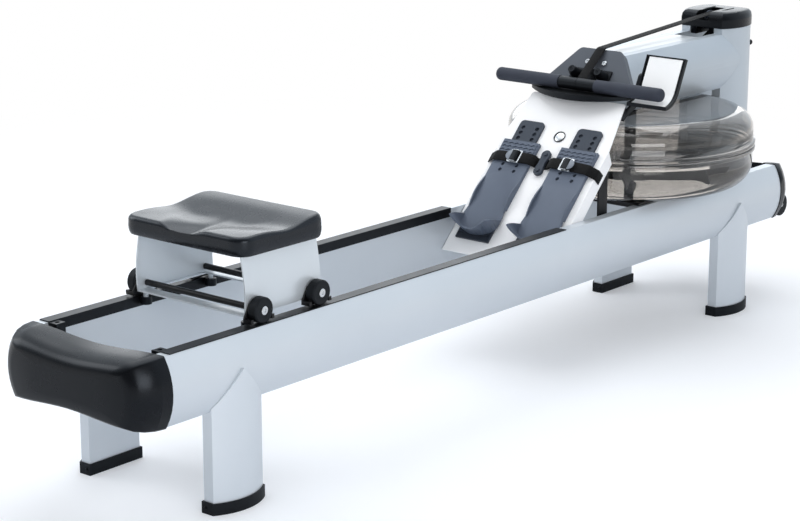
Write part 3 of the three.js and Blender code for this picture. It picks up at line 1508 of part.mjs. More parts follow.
// The pad's plan: a rounded rectangle walked by even steps of angle, drawn in by inset.
function padPlan(inset) {
  const halfX = padHalfWidth - inset;
  const halfY = padLength / 2 - inset;
  const corner = Math.max(padCorner - inset, padCorner / 3);
  const points = [];
  for (let i = 0; i < padSteps; i += 1) {
    const turn = Math.PI * 2 * i / padSteps + Math.PI / padSteps;
    const [c, s] = [Math.cos(turn), Math.sin(turn)];
    const flatX = halfX - corner;
    const flatY = halfY - corner;
    const reach = Math.min(halfX / Math.abs(c), halfY / Math.abs(s));
    let [x, y] = [c * reach, s * reach];
    if (Math.abs(x) > flatX && Math.abs(y) > flatY) {
      const [cx, cy] = [Math.sign(x) * flatX, Math.sign(y) * flatY];
      const away = Math.hypot(x - cx, y - cy);
      [x, y] = [cx + (x - cx) / away * corner, cy + (y - cy) / away * corner];
    }
    points.push([x, y]);
  }
  return points;
}

// Height of the moulded top above its level edge: it rises to the front, dips across the
// middle, has a hollow for each side and a notch at the back that fades into them.
function padRelief(x, y) {
  const from = y + padLength / 2;
  const spreadShare = 0.3;
  const notchHalf = padNotchHalf + from * spreadShare;
  const across = Math.max(0, 1 - (Math.hypot(x, padNotchRound) - padNotchRound) / notchHalf);
  const notch = padNotchDepth * across ** 1.5 * Math.exp(-((from / padNotchReach) ** 2));
  const dip = padDipDepth * Math.exp(-(((from - padDipPlace) / padDipReach) ** 2));
  const hollow = [-1, 1].reduce((sum, side) => {
    const distance = Math.hypot(x - side * padHollowOffset, from - padHollowPlace) / padHollowRadius;
    return sum + padHollowDepth * Math.exp(-distance * distance);
  }, 0);
  return padFrontRise * from / padLength - notch - dip - hollow;
}

function addPad() {
  const bottom = frameTop + seatGap;
  const mid = carriageRear + carriageLength / 2 - padSetBack;
  const rings = [];
  const sideShares = [0, 0.14, 0.4, 0.62];
  const drawShares = [1, 0.35, 0, 0.1];
  sideShares.forEach((share, i) => {
    rings.push(padPlan(padSideDraw * drawShares[i]).map(([x, y]) => [x, y, bottom + padThickness * share]));
  });
  const edgeHeight = bottom + padThickness;
  for (let i = 1; i <= padSideSteps; i += 1) {
    const turn = Math.PI / 2 * i / padSideSteps;
    const inset = padSideDraw * drawShares.at(-1) + padTopRound * (1 - Math.cos(turn));
    const drop = padTopRound * (1 - Math.sin(turn));
    rings.push(padPlan(inset).map(([x, y]) => {
      const relief = padRelief(x, y) * Math.sin(turn);
      return [x, y, edgeHeight - drop + relief];
    }));
  }
  const rim = padPlan(padSideDraw * drawShares.at(-1) + padTopRound);
  for (let ring = 1; ring < padTopRings; ring += 1) {
    const share = 1 - ring / padTopRings;
    rings.push(rim.map(([x, y]) => [x * share, y * share, edgeHeight + padRelief(x * share, y * share)]));
  }
  const body = skin(rings, [0, 0, bottom], [0, 0, edgeHeight + padRelief(0, 0)]);
  add(machine, 'seat_pad', body.translate(0, mid, 0), 'pad');
}

addRails();
addLegs();
addTracks();
addBumpers();
addTransportWheels();
addCrossMembers();
addPostAndArm();
addTank();
addPaddle();
addCap();
addDriveStrap();
addFootboard();
addBrace();
sides.forEach(([word, side]) => {
  addFootBase(word, side);
  addHeelCup(word, side);
  addFootStrap(word, side);
});
addStrapAnchor();
addHood();
addHandleRest();
addHandle();
addMonitor();
addCarriage();
addPad();

export default machine;
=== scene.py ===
"""Looks for the water rowing machine: finishes, smooth pieces, seat pad, tank, straps, fasteners, studio."""

import json
import math

import bmesh
import bpy
from mathutils import Matrix, Vector


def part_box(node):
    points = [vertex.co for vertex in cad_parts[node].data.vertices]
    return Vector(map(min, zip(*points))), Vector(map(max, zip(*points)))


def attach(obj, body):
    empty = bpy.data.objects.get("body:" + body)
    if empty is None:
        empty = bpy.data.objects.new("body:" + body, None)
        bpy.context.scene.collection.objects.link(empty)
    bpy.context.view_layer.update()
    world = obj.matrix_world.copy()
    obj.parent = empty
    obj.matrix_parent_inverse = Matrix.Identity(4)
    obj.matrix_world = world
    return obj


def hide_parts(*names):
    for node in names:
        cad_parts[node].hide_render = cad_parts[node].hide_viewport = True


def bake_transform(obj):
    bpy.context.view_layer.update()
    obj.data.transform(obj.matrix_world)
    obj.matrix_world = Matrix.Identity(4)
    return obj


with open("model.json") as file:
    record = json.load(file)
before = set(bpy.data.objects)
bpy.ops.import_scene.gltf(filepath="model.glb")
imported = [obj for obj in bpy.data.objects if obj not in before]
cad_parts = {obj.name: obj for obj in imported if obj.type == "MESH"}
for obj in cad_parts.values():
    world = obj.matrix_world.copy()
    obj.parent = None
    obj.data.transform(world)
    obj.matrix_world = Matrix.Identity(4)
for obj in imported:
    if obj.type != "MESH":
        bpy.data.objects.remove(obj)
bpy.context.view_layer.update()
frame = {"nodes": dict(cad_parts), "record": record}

MM = 0.001
# The CAD centres the machine on the floor, which moves everything along it by this much.
ALONG = -4.35


def at(x, y, z):
    """A place in the machine's own millimetres, as metres in the row frame."""
    return Vector((x, y + ALONG, z)) * MM


# Places and sizes taken over from the CAD part, in millimetres and degrees

BOARD_TOP = (439.40, 537.54)
BOARD_SLOPE = 45.5
BOARD_HALF = 141.6
HOOD_TOP = (523.0, 633.5)
HOOD_SLOPE = 53.5
HANDLE = (436.12, 568.04)
TANK_CENTRE = 643.0
TANK_BOTTOM = 321.4
TANK_TOP = 491.5
TANK_RADIUS = 276.0
TANK_WALL = 4.0
FLANGE_HEIGHT = 412.5
STRAP_PLACE = 181.0
FOOT_OFFSET = 77.0
SOLE_FACE = 8.9
SOLE_HALF = 47.6
# The straps lie over the cups' ribs, and each buckle a little inwards of its sole's middle.
STRAP_HEIGHT = SOLE_FACE + 3.4
BUCKLE_PLACE = FOOT_OFFSET - 8
BUCKLE_FACE = STRAP_HEIGHT + 2.3


def on_slope(top, slope, x, down, out):
    """A place given across, down a sloping face from its top and out from it, as metres in the row frame."""
    turn = math.radians(slope)
    return at(
        x,
        top[0] - down * math.cos(turn) - out * math.sin(turn),
        top[1] - down * math.sin(turn) + out * math.cos(turn),
    )


def on_board(x, down, out):
    return on_slope(BOARD_TOP, BOARD_SLOPE, x, down, out)


def on_hood(x, down, out):
    return on_slope(HOOD_TOP, HOOD_SLOPE, x, down, out)


BOARD_UP = Vector((0, math.cos(math.radians(BOARD_SLOPE)), math.sin(math.radians(BOARD_SLOPE))))
HOOD_OUT = Vector((0, -math.sin(math.radians(HOOD_SLOPE)), math.cos(math.radians(HOOD_SLOPE))))


# Camera, fitted to the rails, legs and cross pieces of the photograph

CAMERA_PLACE = (2785.1, -3500.6, 1428.9)
CAMERA_YAW = 39.91
CAMERA_PITCH = 14.68
CAMERA_LENS = 100.31
SENSOR_WIDTH = 36.0


def place_camera():
    data = bpy.data.cameras.new("camera")
    data.lens = CAMERA_LENS
    data.sensor_width = SENSOR_WIDTH
    data.clip_end = 60.0
    camera = bpy.data.objects.new("camera", data)
    bpy.context.scene.collection.objects.link(camera)
    yaw, pitch = math.radians(CAMERA_YAW), math.radians(CAMERA_PITCH)
    forward = Vector((-math.sin(yaw) * math.cos(pitch), math.cos(yaw) * math.cos(pitch), -math.sin(pitch)))
    right = Vector((math.cos(yaw), math.sin(yaw), 0))
    turn = Matrix((right, right.cross(forward), -forward)).transposed()
    camera.matrix_world = Matrix.Translation(at(*CAMERA_PLACE)) @ turn.to_4x4()
    bpy.context.scene.camera = camera


place_camera()


# Materials

def shade(code):
    """An sRGB hex colour as the linear colour a shader wants."""
    parts = [int(code[i:i + 2], 16) / 255 for i in (1, 3, 5)]
    linear = [c / 12.92 if c <= 0.04045 else ((c + 0.055) / 1.055) ** 2.4 for c in parts]
    return (*linear, 1.0)


def add_node(tree, kind, settings=None, links=None):
    """Adds one node. Settings are its properties or input values, links are the sockets that feed its inputs."""
    made = tree.nodes.new(kind)
    for key, value in (settings or {}).items():
        if isinstance(key, int) or key in made.inputs:
            made.inputs[key].default_value = value
        else:
            setattr(made, key, value)
    for key, socket in (links or {}).items():
        tree.links.new(socket, made.inputs[key])
    return made


def new_material(name):
    material = bpy.data.materials.new(name)
    material.use_nodes = True
    tree = material.node_tree
    tree.nodes.clear()
    return material, tree


# Inputs and output of a Mix node that mixes colours
MIX_FIRST, MIX_SECOND, MIX_RESULT = 6, 7, 2

# The faint blue of a moulded skin's gloss in the studio's cool light
COOL_GLOSS = shade("#e6f1ff")


def anodised_aluminium(name, grain, first="#cdd4db", second="#d5dbe1"):
    """Extruded aluminium, satin anodised: a cool silver with faint draw lines along the extrusion."""
    material, tree = new_material(name)
    place = add_node(tree, "ShaderNodeTexCoord").outputs["Object"]
    along = add_node(tree, "ShaderNodeMapping", {"Scale": grain}, {"Vector": place})
    # Draw lines 1.5 mm apart, coarser than the real 0.3 mm so that they show.
    lines = add_node(
        tree, "ShaderNodeTexNoise", {"Scale": 1 / (1.5 * MM), "Detail": 2.0}, {"Vector": along.outputs["Vector"]}
    )
    clouds = add_node(tree, "ShaderNodeTexNoise", {"Scale": 1 / (160 * MM), "Detail": 3.0}, {"Vector": place})
    colour = add_node(
        tree, "ShaderNodeMix", {"data_type": "RGBA", MIX_FIRST: shade(first), MIX_SECOND: shade(second)},
        {0: clouds.outputs["Fac"]}
    )
    rough = add_node(
        tree, "ShaderNodeMapRange", {"To Min": 0.34, "To Max": 0.44}, {"Value": lines.outputs["Fac"]}
    )
    bump = add_node(
        tree, "ShaderNodeBump", {"Strength": 0.06, "Distance": 0.05 * MM}, {"Height": lines.outputs["Fac"]}
    )
    shader = add_node(tree, "ShaderNodeBsdfPrincipled", {"Metallic": 0.42}, {
        "Base Color": colour.outputs[MIX_RESULT], "Roughness": rough.outputs["Result"],
        "Normal": bump.outputs["Normal"],
    })
    add_node(tree, "ShaderNodeOutputMaterial", None, {"Surface": shader.outputs["BSDF"]})
    return material


def painted_sheet(name, first, second, metallic, rough, shine=0.5):
    """Folded steel sheet under sprayed paint: even colour with a fine orange peel."""
    material, tree = new_material(name)
    place = add_node(tree, "ShaderNodeTexCoord").outputs["Object"]
    # Orange peel about 1.2 mm across.
    peel = add_node(tree, "ShaderNodeTexNoise", {"Scale": 1 / (1.2 * MM), "Detail": 1.0}, {"Vector": place})
    clouds = add_node(tree, "ShaderNodeTexNoise", {"Scale": 1 / (90 * MM), "Detail": 2.0}, {"Vector": place})
    colour = add_node(
        tree, "ShaderNodeMix", {"data_type": "RGBA", MIX_FIRST: shade(first), MIX_SECOND: shade(second)},
        {0: clouds.outputs["Fac"]}
    )
    gloss = add_node(
        tree, "ShaderNodeMapRange", {"To Min": rough - 0.03, "To Max": rough + 0.04},
        {"Value": clouds.outputs["Fac"]}
    )
    bump = add_node(
        tree, "ShaderNodeBump", {"Strength": 0.05, "Distance": 0.1 * MM}, {"Height": peel.outputs["Fac"]}
    )
    shader = add_node(tree, "ShaderNodeBsdfPrincipled", {"Metallic": metallic, "Specular IOR Level": shine}, {
        "Base Color": colour.outputs[MIX_RESULT], "Roughness": gloss.outputs["Result"],
        "Normal": bump.outputs["Normal"],
    })
    add_node(tree, "ShaderNodeOutputMaterial", None, {"Surface": shader.outputs["BSDF"]})
    return material


def moulded_skin(name, first, second, rough, grain_mm=0.9, depth=0.3, shine=0.25, soft=False):
    """Plastic moulded in a spark-textured tool: a fine even grain that softens the gloss.

    Soft foam and rubber have deeper pebbles, and a skin that is a little more uneven in tone and gloss.
    """
    clouds_mm, detail, pebble_mm = (30, 4.0, 0.12) if soft else (45, 3.0, 0.06)
    gloss_range = (rough - 0.05, rough + 0.05) if soft else (rough - 0.04, rough + 0.06)
    material, tree = new_material(name)
    place = add_node(tree, "ShaderNodeTexCoord").outputs["Object"]
    grain = add_node(tree, "ShaderNodeTexVoronoi", {"Scale": 1 / (grain_mm * MM)}, {"Vector": place})
    clouds = add_node(
        tree, "ShaderNodeTexNoise", {"Scale": 1 / (clouds_mm * MM), "Detail": detail}, {"Vector": place}
    )
    colour = add_node(
        tree, "ShaderNodeMix", {"data_type": "RGBA", MIX_FIRST: shade(first), MIX_SECOND: shade(second)},
        {0: clouds.outputs["Fac"]}
    )
    gloss = add_node(
        tree, "ShaderNodeMapRange", {"To Min": gloss_range[0], "To Max": gloss_range[1]},
        {"Value": clouds.outputs["Fac"]}
    )
    bump = add_node(
        tree, "ShaderNodeBump", {"Strength": depth, "Distance": pebble_mm * MM}, {"Height": grain.outputs["Distance"]}
    )
    settings = {"IOR": 1.5, "Specular IOR Level": shine, "Specular Tint": COOL_GLOSS}
    shader = add_node(tree, "ShaderNodeBsdfPrincipled", settings, {
        "Base Color": colour.outputs[MIX_RESULT], "Roughness": gloss.outputs["Result"],
        "Normal": bump.outputs["Normal"],
    })
    add_node(tree, "ShaderNodeOutputMaterial", None, {"Surface": shader.outputs["BSDF"]})
    return material


def woven_webbing(name):
    """Woven polypropylene webbing: rows of small crossing threads on a black strap."""
    material, tree = new_material(name)
    place = add_node(tree, "ShaderNodeUVMap", {"uv_map": "UVMap"}).outputs["UV"]
    # The map is in metres along and across the strap. Threads 1.6 mm apart, coarser than the real 0.8 mm.
    # A wave texture repeats 10 / pi times in each unit of its scale.
    density = 1 / (1.6 * MM) / (10 / math.pi)
    warp = add_node(tree, "ShaderNodeTexWave", {"Scale": density, "bands_direction": "Y"}, {"Vector": place})
    weft = add_node(tree, "ShaderNodeTexWave", {"Scale": density, "bands_direction": "X"}, {"Vector": place})
    weave = add_node(
        tree, "ShaderNodeMath", {"operation": "MULTIPLY"}, {0: warp.outputs["Fac"], 1: weft.outputs["Fac"]}
    )
    colour = add_node(
        tree, "ShaderNodeMix",
        {"data_type": "RGBA", MIX_FIRST: shade("#030304"), MIX_SECOND: shade("#121316")},
        {0: weave.outputs["Value"]}
    )
    bump = add_node(
        tree, "ShaderNodeBump", {"Strength": 0.7, "Distance": 0.3 * MM}, {"Height": weave.outputs["Value"]}
    )
    shader = add_node(
        tree, "ShaderNodeBsdfPrincipled",
        {"Roughness": 0.8, "Specular IOR Level": 0.2, "Sheen Weight": 0.05, "Sheen Roughness": 0.5},
        {"Base Color": colour.outputs[MIX_RESULT], "Normal": bump.outputs["Normal"]}
    )
    add_node(tree, "ShaderNodeOutputMaterial", None, {"Surface": shader.outputs["BSDF"]})
    return material


def polished_steel(name, rough):
    """Polished zinc plated steel: bright, with faint polishing marks."""
    material, tree = new_material(name)
    place = add_node(tree, "ShaderNodeTexCoord").outputs["Object"]
    marks = add_node(tree, "ShaderNodeTexNoise", {"Scale": 1 / (2.0 * MM), "Detail": 2.0}, {"Vector": place})
    colour = add_node(
        tree, "ShaderNodeMix",
        {"data_type": "RGBA", MIX_FIRST: shade("#c4c6c8"), MIX_SECOND: shade("#dcdee0")},
        {0: marks.outputs["Fac"]}
    )
    gloss = add_node(
        tree, "ShaderNodeMapRange", {"To Min": rough - 0.05, "To Max": rough + 0.08},
        {"Value": marks.outputs["Fac"]}
    )
    shader = add_node(
        tree, "ShaderNodeBsdfPrincipled", {"Metallic": 1.0},
        {"Base Color": colour.outputs[MIX_RESULT], "Roughness": gloss.outputs["Result"]}
    )
    add_node(tree, "ShaderNodeOutputMaterial", None, {"Surface": shader.outputs["BSDF"]})
    return material


def smoke_polycarbonate(name, first, second):
    """Blown polycarbonate, clear with a smoke tint: it darkens what is seen through both of its walls."""
    material, tree = new_material(name)
    place = add_node(tree, "ShaderNodeTexCoord").outputs["Object"]
    # Slow waves left by the blowing, about 70 mm across.
    waves = add_node(tree, "ShaderNodeTexNoise", {"Scale": 1 / (70 * MM), "Detail": 1.0}, {"Vector": place})
    colour = add_node(
        tree, "ShaderNodeMix", {"data_type": "RGBA", MIX_FIRST: shade(first), MIX_SECOND: shade(second)},
        {0: waves.outputs["Fac"]}
    )
    bump = add_node(
        tree, "ShaderNodeBump", {"Strength": 0.1, "Distance": 1.5 * MM}, {"Height": waves.outputs["Fac"]}
    )
    shader = add_node(
        tree, "ShaderNodeBsdfPrincipled", {"IOR": 1.5, "Transmission Weight": 1.0, "Roughness": 0.02},
        {"Base Color": colour.outputs[MIX_RESULT], "Normal": bump.outputs["Normal"]}
    )
    add_node(tree, "ShaderNodeOutputMaterial", None, {"Surface": shader.outputs["BSDF"]})
    return material


def still_water(name):
    """Still tap water: clear, with slow ripples on its face. It bends light less than real water's 1.33, so that
    the wall and the water together look as light and as even as they do on the real tank."""
    material, tree = new_material(name)
    place = add_node(tree, "ShaderNodeTexCoord").outputs["Object"]
    ripples = add_node(tree, "ShaderNodeTexNoise", {"Scale": 1 / (40 * MM), "Detail": 2.0}, {"Vector": place})
    colour = add_node(
        tree, "ShaderNodeMix",
        {"data_type": "RGBA", MIX_FIRST: shade("#e3e4e4"), MIX_SECOND: shade("#eff0f0")},
        {0: ripples.outputs["Fac"]}
    )
    bump = add_node(
        tree, "ShaderNodeBump", {"Strength": 0.04, "Distance": 2 * MM}, {"Height": ripples.outputs["Fac"]}
    )
    shader = add_node(
        tree, "ShaderNodeBsdfPrincipled", {"IOR": 1.2, "Transmission Weight": 1.0, "Roughness": 0.01},
        {"Base Color": colour.outputs[MIX_RESULT], "Normal": bump.outputs["Normal"]}
    )
    add_node(tree, "ShaderNodeOutputMaterial", None, {"Surface": shader.outputs["BSDF"]})
    return material


finishes = {
    "rail": anodised_aluminium("anodised_aluminium_along", (1, 0.01, 1)),
    # Painted shade: the arms and posts are the rails' anodised aluminium, in a darker tone that stands in for the
    # shade on them.
    "tube": anodised_aluminium("anodised_aluminium_tube_painted_shade", (1, 0.01, 0.01), "#bac3cc", "#c2cbd3"),
    # Painted light: the legs are the rails' anodised aluminium, a little lighter to stand in for the light falling on
    # them.
    "leg": anodised_aluminium("anodised_aluminium_upright_painted_light", (1, 1, 0.01), "#d0d7de", "#d8dee4"),
    "sheet": painted_sheet("silver_painted_steel", "#d0d7dd", "#d8dee3", 0.35, 0.36),
    "white": painted_sheet("white_painted_steel", "#f6f7f9", "#fbfbfc", 0.0, 0.3),
    # Painted shade: the arm cover's white paint, darkened to a pale grey that stands in for the shade on it.
    "cover": painted_sheet("white_painted_steel_with_painted_shade", "#ccd4db", "#d4dbe1", 0.0, 0.3),
    "paddle": moulded_skin("grey_moulded_polypropylene", "#626365", "#6c6d6f", 0.5, 3.0, 0.0),
    "black": moulded_skin("black_moulded_nylon", "#08090b", "#0d0e10", 0.36),
    "bumper": moulded_skin("black_moulded_abs", "#060608", "#0a0a0c", 0.27, 1.1, 0.03),
    "track": moulded_skin("black_extruded_nylon", "#090a0c", "#0f1013", 0.38, 0.8, 0.15),
    "black_paint": painted_sheet("black_painted_steel", "#08080a", "#0c0c0f", 0.0, 0.33, 0.3),
    "grey": moulded_skin("blue_grey_moulded_nylon", "#525a69", "#5c6574", 0.4, shine=0.38),
    "base": moulded_skin("dark_grey_moulded_nylon", "#2f343d", "#373d47", 0.44, shine=0.35),
    "hood": moulded_skin("graphite_moulded_abs", "#4c5057", "#54585f", 0.4, shine=0.4),
    "shell": moulded_skin("white_moulded_abs", "#f6f7f8", "#fcfcfc", 0.22, 0.6, 0.05, 0.5),
    "tab": moulded_skin("light_grey_moulded_nylon", "#7c838d", "#878e98", 0.4, shine=0.35),
    "rubber": moulded_skin("black_moulded_rubber", "#08090a", "#0e0f11", 0.55, 0.9, 0.2, soft=True),
    "grip": moulded_skin("black_foam_rubber", "#2c2f38", "#383b46", 0.72, 1.1, 0.6, 0.45, soft=True),
    "seat": moulded_skin(
        "black_skinned_polyurethane_foam", "#090a0d", "#0e1014", 0.27, 0.8, 0.02, 0.38, soft=True
    ),
    "webbing": woven_webbing("woven_polypropylene"),
    "steel": polished_steel("polished_zinc_plated_steel", 0.2),
    "smoke": smoke_polycarbonate("smoke_polycarbonate", "#c2bfbc", "#cbc8c5"),
    "water": still_water("still_water"),
}

LEFT_AND_RIGHT = (("left", -1), ("right", 1))
ONE = ("",)
SIDES = ("_left", "_right")
ENDS = ("_rear", "_front")
CORNERS = ("_rear_left", "_rear_right", "_front_left", "_front_right")

# The CAD's pieces: name, which of them there are, finish, and edge rounding in millimetres.
# Those without a rounding get a piece of their own further down.
pieces = (
    ("rail", SIDES, "rail", 0.8), ("arm", SIDES, "tube", 0.8), ("leg", CORNERS, "leg", 0.8),
    ("post", SIDES, "tube", 0.8), ("foot_pad", CORNERS, "rubber", 1.5), ("track", SIDES, "track", 0.5),
    ("rear_bumper", ONE, "bumper", 0), ("front_bumper", ONE, "bumper", 0),
    ("transport_wheel", SIDES, "rubber", 1.0), ("post_plate", ONE, "sheet", 0.6),
    ("tank_cradle", ENDS, "black_paint", 0.8), ("arm_cover", ONE, "cover", 0.8), ("post_cap", ONE, "bumper", 0.6),
    ("strap_pulley", ONE, "grey", 0.5), ("drive_drum", ONE, "grey", 0.5), ("footboard", ONE, "white", 0.9),
    ("footboard_brace", ONE, "black_paint", 0.6), ("foot_base", SIDES, "base", 0.9),
    ("heel_cup", SIDES, "grey", 0.6), ("strap_anchor", ONE, "base", 0.8), ("hood", ONE, "hood", 1.2),
    ("handle_rest", ONE, "black", 1.0), ("handle_bar", ONE, "black_paint", 0.5), ("grip", SIDES, "grip", 0),
    ("handle_clamp", ONE, "black", 0.4), ("monitor_arm", ONE, "black", 0.8), ("seat_frame", ONE, "sheet", 0.5),
    ("axle", ENDS, "black_paint", 0.6), ("wheel", CORNERS, "rubber", 0.6), ("paddle", ONE, "paddle", 0.8),
    ("tank_seal", ONE, "rubber", 0), ("monitor", ONE, "black", 0.8), ("monitor_panel", ONE, "shell", 0.3),
    ("buckle", SIDES, "steel", 0.5),
    ("tank_upper", ONE, "smoke", None), ("tank_lower", ONE, "smoke", None), ("seat_pad", ONE, "seat", None),
    ("drive_strap", ONE, "webbing", None), ("foot_strap", SIDES, "webbing", None),
)
finish_of = {name + end: finish for name, ends, finish, _ in pieces for end in ends}
body_of = {node: body for body, nodes in frame["record"]["behaviour"]["bodies"].items() for node in nodes}
slot_of = {part["node"]: part["material_slot"] for part in frame["record"]["subparts"]}


# Mesh helpers

def new_piece(name, mesh, finish, body, slot=None, stands_for=()):
    made = bpy.data.objects.new(name, mesh)
    bpy.context.scene.collection.objects.link(made)
    mesh.materials.clear()
    mesh.materials.append(finishes[finish])
    if body:
        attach(made, body)
    if stands_for:
        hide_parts(*stands_for)
    return made


def mesh_from(name, build, smooth_angle):
    """Makes a mesh from a bmesh that build fills, with faces out and edges sharper than the angle kept crisp."""
    bm = bmesh.new()
    build(bm)
    bmesh.ops.remove_doubles(bm, verts=bm.verts, dist=0.01 * MM)
    bmesh.ops.recalc_face_normals(bm, faces=bm.faces)
    mesh = bpy.data.meshes.new(name)
    bm.to_mesh(mesh)
    bm.free()
    mesh.shade_smooth()
    mesh.set_sharp_from_angle(angle=math.radians(smooth_angle))
    return mesh


def fill_loft(bm, rings):
    """Joins rings of points, each of the same count, into one skin, closed at both ends with a face."""
    made = [[bm.verts.new(point) for point in ring] for ring in rings]
    count = len(rings[0])
    for first, second in zip(made, made[1:]):
        for i in range(count):
            j = (i + 1) % count
            bm.faces.new((first[i], first[j], second[j], second[i]))
    bm.faces.new(made[0][::-1])
    bm.faces.new(made[-1])


def fill_lathe(bm, profile, segments, spot):
    """Turns a profile of reach and height. Spot gives the place across, along and up. No reach closes a pole."""
    rows = []
    for reach, height in profile:
        if reach == 0:
            rows.append([bm.verts.new(spot(0, 0, height))] * segments)
            continue
        turns = [math.tau * i / segments for i in range(segments)]
        rows.append([bm.verts.new(spot(reach * math.cos(t), reach * math.sin(t), height)) for t in turns])
    for first, second in zip(rows, rows[1:]):
        for i in range(segments):
            j = (i + 1) % segments
            corners = list(dict.fromkeys((first[i], first[j], second[j], second[i])))
            if len(corners) > 2:
                bm.faces.new(corners)


def new_recipe(name, sizes):
    """A Geometry Nodes tree with geometry in and out, a named length for each size, and a material."""
    tree = bpy.data.node_groups.new(name, "GeometryNodeTree")
    face = tree.interface
    face.new_socket("Geometry", in_out="INPUT", socket_type="NodeSocketGeometry")
    sockets = {label: face.new_socket(label, in_out="INPUT", socket_type="NodeSocketFloat") for label in sizes}
    sockets["Material"] = face.new_socket("Material", in_out="INPUT", socket_type="NodeSocketMaterial")
    face.new_socket("Geometry", in_out="OUTPUT", socket_type="NodeSocketGeometry")
    given = add_node(tree, "NodeGroupInput").outputs
    return tree, given, {label: socket.identifier for label, socket in sockets.items()}


def end_recipe(tree, given, made):
    """Ends a tree: what it made is turned into real geometry and gets its material."""
    real = add_node(tree, "GeometryNodeRealizeInstances", None, {"Geometry": made})
    finish = add_node(
        tree, "GeometryNodeSetMaterial", None, {"Geometry": real.outputs["Geometry"], "Material": given["Material"]}
    )
    add_node(tree, "NodeGroupOutput", None, {"Geometry": finish.outputs["Geometry"]})


def grow(name, points, edges, directions, recipe, sizes, finish, smooth_angle):
    """Runs a tree once on a few points, each with a direction, and keeps what it makes as a plain mesh."""
    tree, inputs = recipe
    seed = bpy.data.meshes.new(name + "_seed")
    seed.from_pydata([list(point) for point in points], edges, [])
    aim = seed.attributes.new("aim", "FLOAT_VECTOR", "POINT")
    for i, direction in enumerate(directions):
        aim.data[i].vector = direction
    carrier = bpy.data.objects.new(name + "_seed", seed)
    bpy.context.scene.collection.objects.link(carrier)
    modifier = carrier.modifiers.new(tree.name, "NODES")
    modifier.node_group = tree
    for label, size in sizes.items():
        modifier[inputs[label]] = size * MM
    modifier[inputs["Material"]] = finishes[finish]
    bpy.context.view_layer.update()
    graph = bpy.context.evaluated_depsgraph_get()
    mesh = bpy.data.meshes.new_from_object(carrier.evaluated_get(graph))
    mesh.name = name
    bpy.data.objects.remove(carrier)
    mesh.shade_smooth()
    mesh.set_sharp_from_angle(angle=math.radians(smooth_angle))
    return mesh


# Edges of the CAD's pieces that are sharper than this, in degrees, stay crisp and are rounded
CRISP_ANGLE = 32.0


def dress(node, round_mm):
    """A copy of a CAD node with its doubles merged, smooth across its curves and with small rounded edges."""
    source = frame["nodes"][node].data

    def build(bm):
        bm.from_mesh(source)
        bmesh.ops.remove_doubles(bm, verts=bm.verts, dist=0.02 * MM)
        bmesh.ops.dissolve_limit(bm, angle_limit=math.radians(0.4), verts=bm.verts, edges=bm.edges)

    mesh = mesh_from(node + "_finish", build, CRISP_ANGLE)
    piece = new_piece(node + "_finish", mesh, finish_of[node], body_of[node], slot_of[node], [node])
    if round_mm:
        edge = piece.modifiers.new("rounded_edges", "BEVEL")
        edge.width = round_mm * MM
        edge.segments = 2
        edge.limit_method = "ANGLE"
        edge.angle_limit = math.radians(CRISP_ANGLE)
        edge.harden_normals = True


for name, ends, _, rounding in pieces:
    for end in ends:
        if rounding is not None:
            dress(name + end, rounding)

# The white face's width, as a share of its CAD width
FACE_SHARE = 0.9
# The guide pucks' height, above which the seat frame is sheet
PUCK_TOP = 318.4


def narrow_monitor_face():
    """Draws the white face in from its sides, so that the shell shows round it as a black rim."""
    low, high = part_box("monitor_panel")
    middle = (low[0] + high[0]) / 2
    for vertex in bpy.data.objects["monitor_panel_finish"].data.vertices:
        vertex.co.x = middle + (vertex.co.x - middle) * FACE_SHARE


def blacken_pucks():
    """Gives the guide pucks under the silver seat frame their black nylon."""
    mesh = bpy.data.objects["seat_frame_finish"].data
    mesh.materials.append(finishes["black"])
    for face in mesh.polygons:
        if max(mesh.vertices[i].co.z for i in face.vertices) < PUCK_TOP * MM:
            face.material_index = 1


def finish_solids():
    """The CAD nodes themselves wear the same finishes as the pieces that stand for them."""
    for name, node in frame["nodes"].items():
        node.data.materials.clear()
        node.data.materials.append(finishes[finish_of[name]])


narrow_monitor_face()
blacken_pucks()
finish_solids()


# Seat pad: the CAD's moulded form, drawn finer and with a full rounded edge

PAD_HALF = 153.0
PAD_LENGTH = 227.0
PAD_MIDDLE = -670.5
PAD_BOTTOM = 441.8
PAD_THICKNESS = 35.0
PAD_CORNER = 30.0
PAD_DRAW = 4.0
PAD_ROUND = 9.0
# How far the side draws in: a share of the thickness, and there a share of the draw
PAD_SIDE = ((0, 1), (0.05, 0.72), (0.14, 0.35), (0.27, 0.12), (0.4, 0), (0.52, 0.02), (0.64, 0.1))
PAD_OUTLINE_STEPS = 160
PAD_ROUND_STEPS = 14
PAD_TOP_RINGS = 46

FRONT_RISE = 10.0
NOTCH_DEPTH = 20.0
NOTCH_HALF, NOTCH_SPREAD = 50.0, 0.3
NOTCH_ROUND = 7.0
NOTCH_REACH = 100.0
DIP_DEPTH, DIP_PLACE, DIP_WIDTH = 8.0, 126.0, 46.0
HOLLOW_DEPTH, HOLLOW_SIDE, HOLLOW_PLACE, HOLLOW_WIDTH = 7.0, 62.0, 96.0, 52.0


def pad_plan(inset):
    """The pad's outline in plan, a rectangle with round corners, moved inwards by inset."""
    half_x, half_y = PAD_HALF - inset, PAD_LENGTH / 2 - inset
    corner = max(PAD_CORNER - inset, PAD_CORNER / 3)
    flat_x, flat_y = half_x - corner, half_y - corner
    points = []
    for i in range(PAD_OUTLINE_STEPS):
        turn = math.tau * (i + 0.5) / PAD_OUTLINE_STEPS
        reach = min(half_x / abs(math.cos(turn)), half_y / abs(math.sin(turn)))
        x, y = math.cos(turn) * reach, math.sin(turn) * reach
        if abs(x) > flat_x and abs(y) > flat_y:
            centre = (math.copysign(flat_x, x), math.copysign(flat_y, y))
            away = math.hypot(x - centre[0], y - centre[1])
            x = centre[0] + (x - centre[0]) / away * corner
            y = centre[1] + (y - centre[1]) / away * corner
        points.append((x, y))
    return points


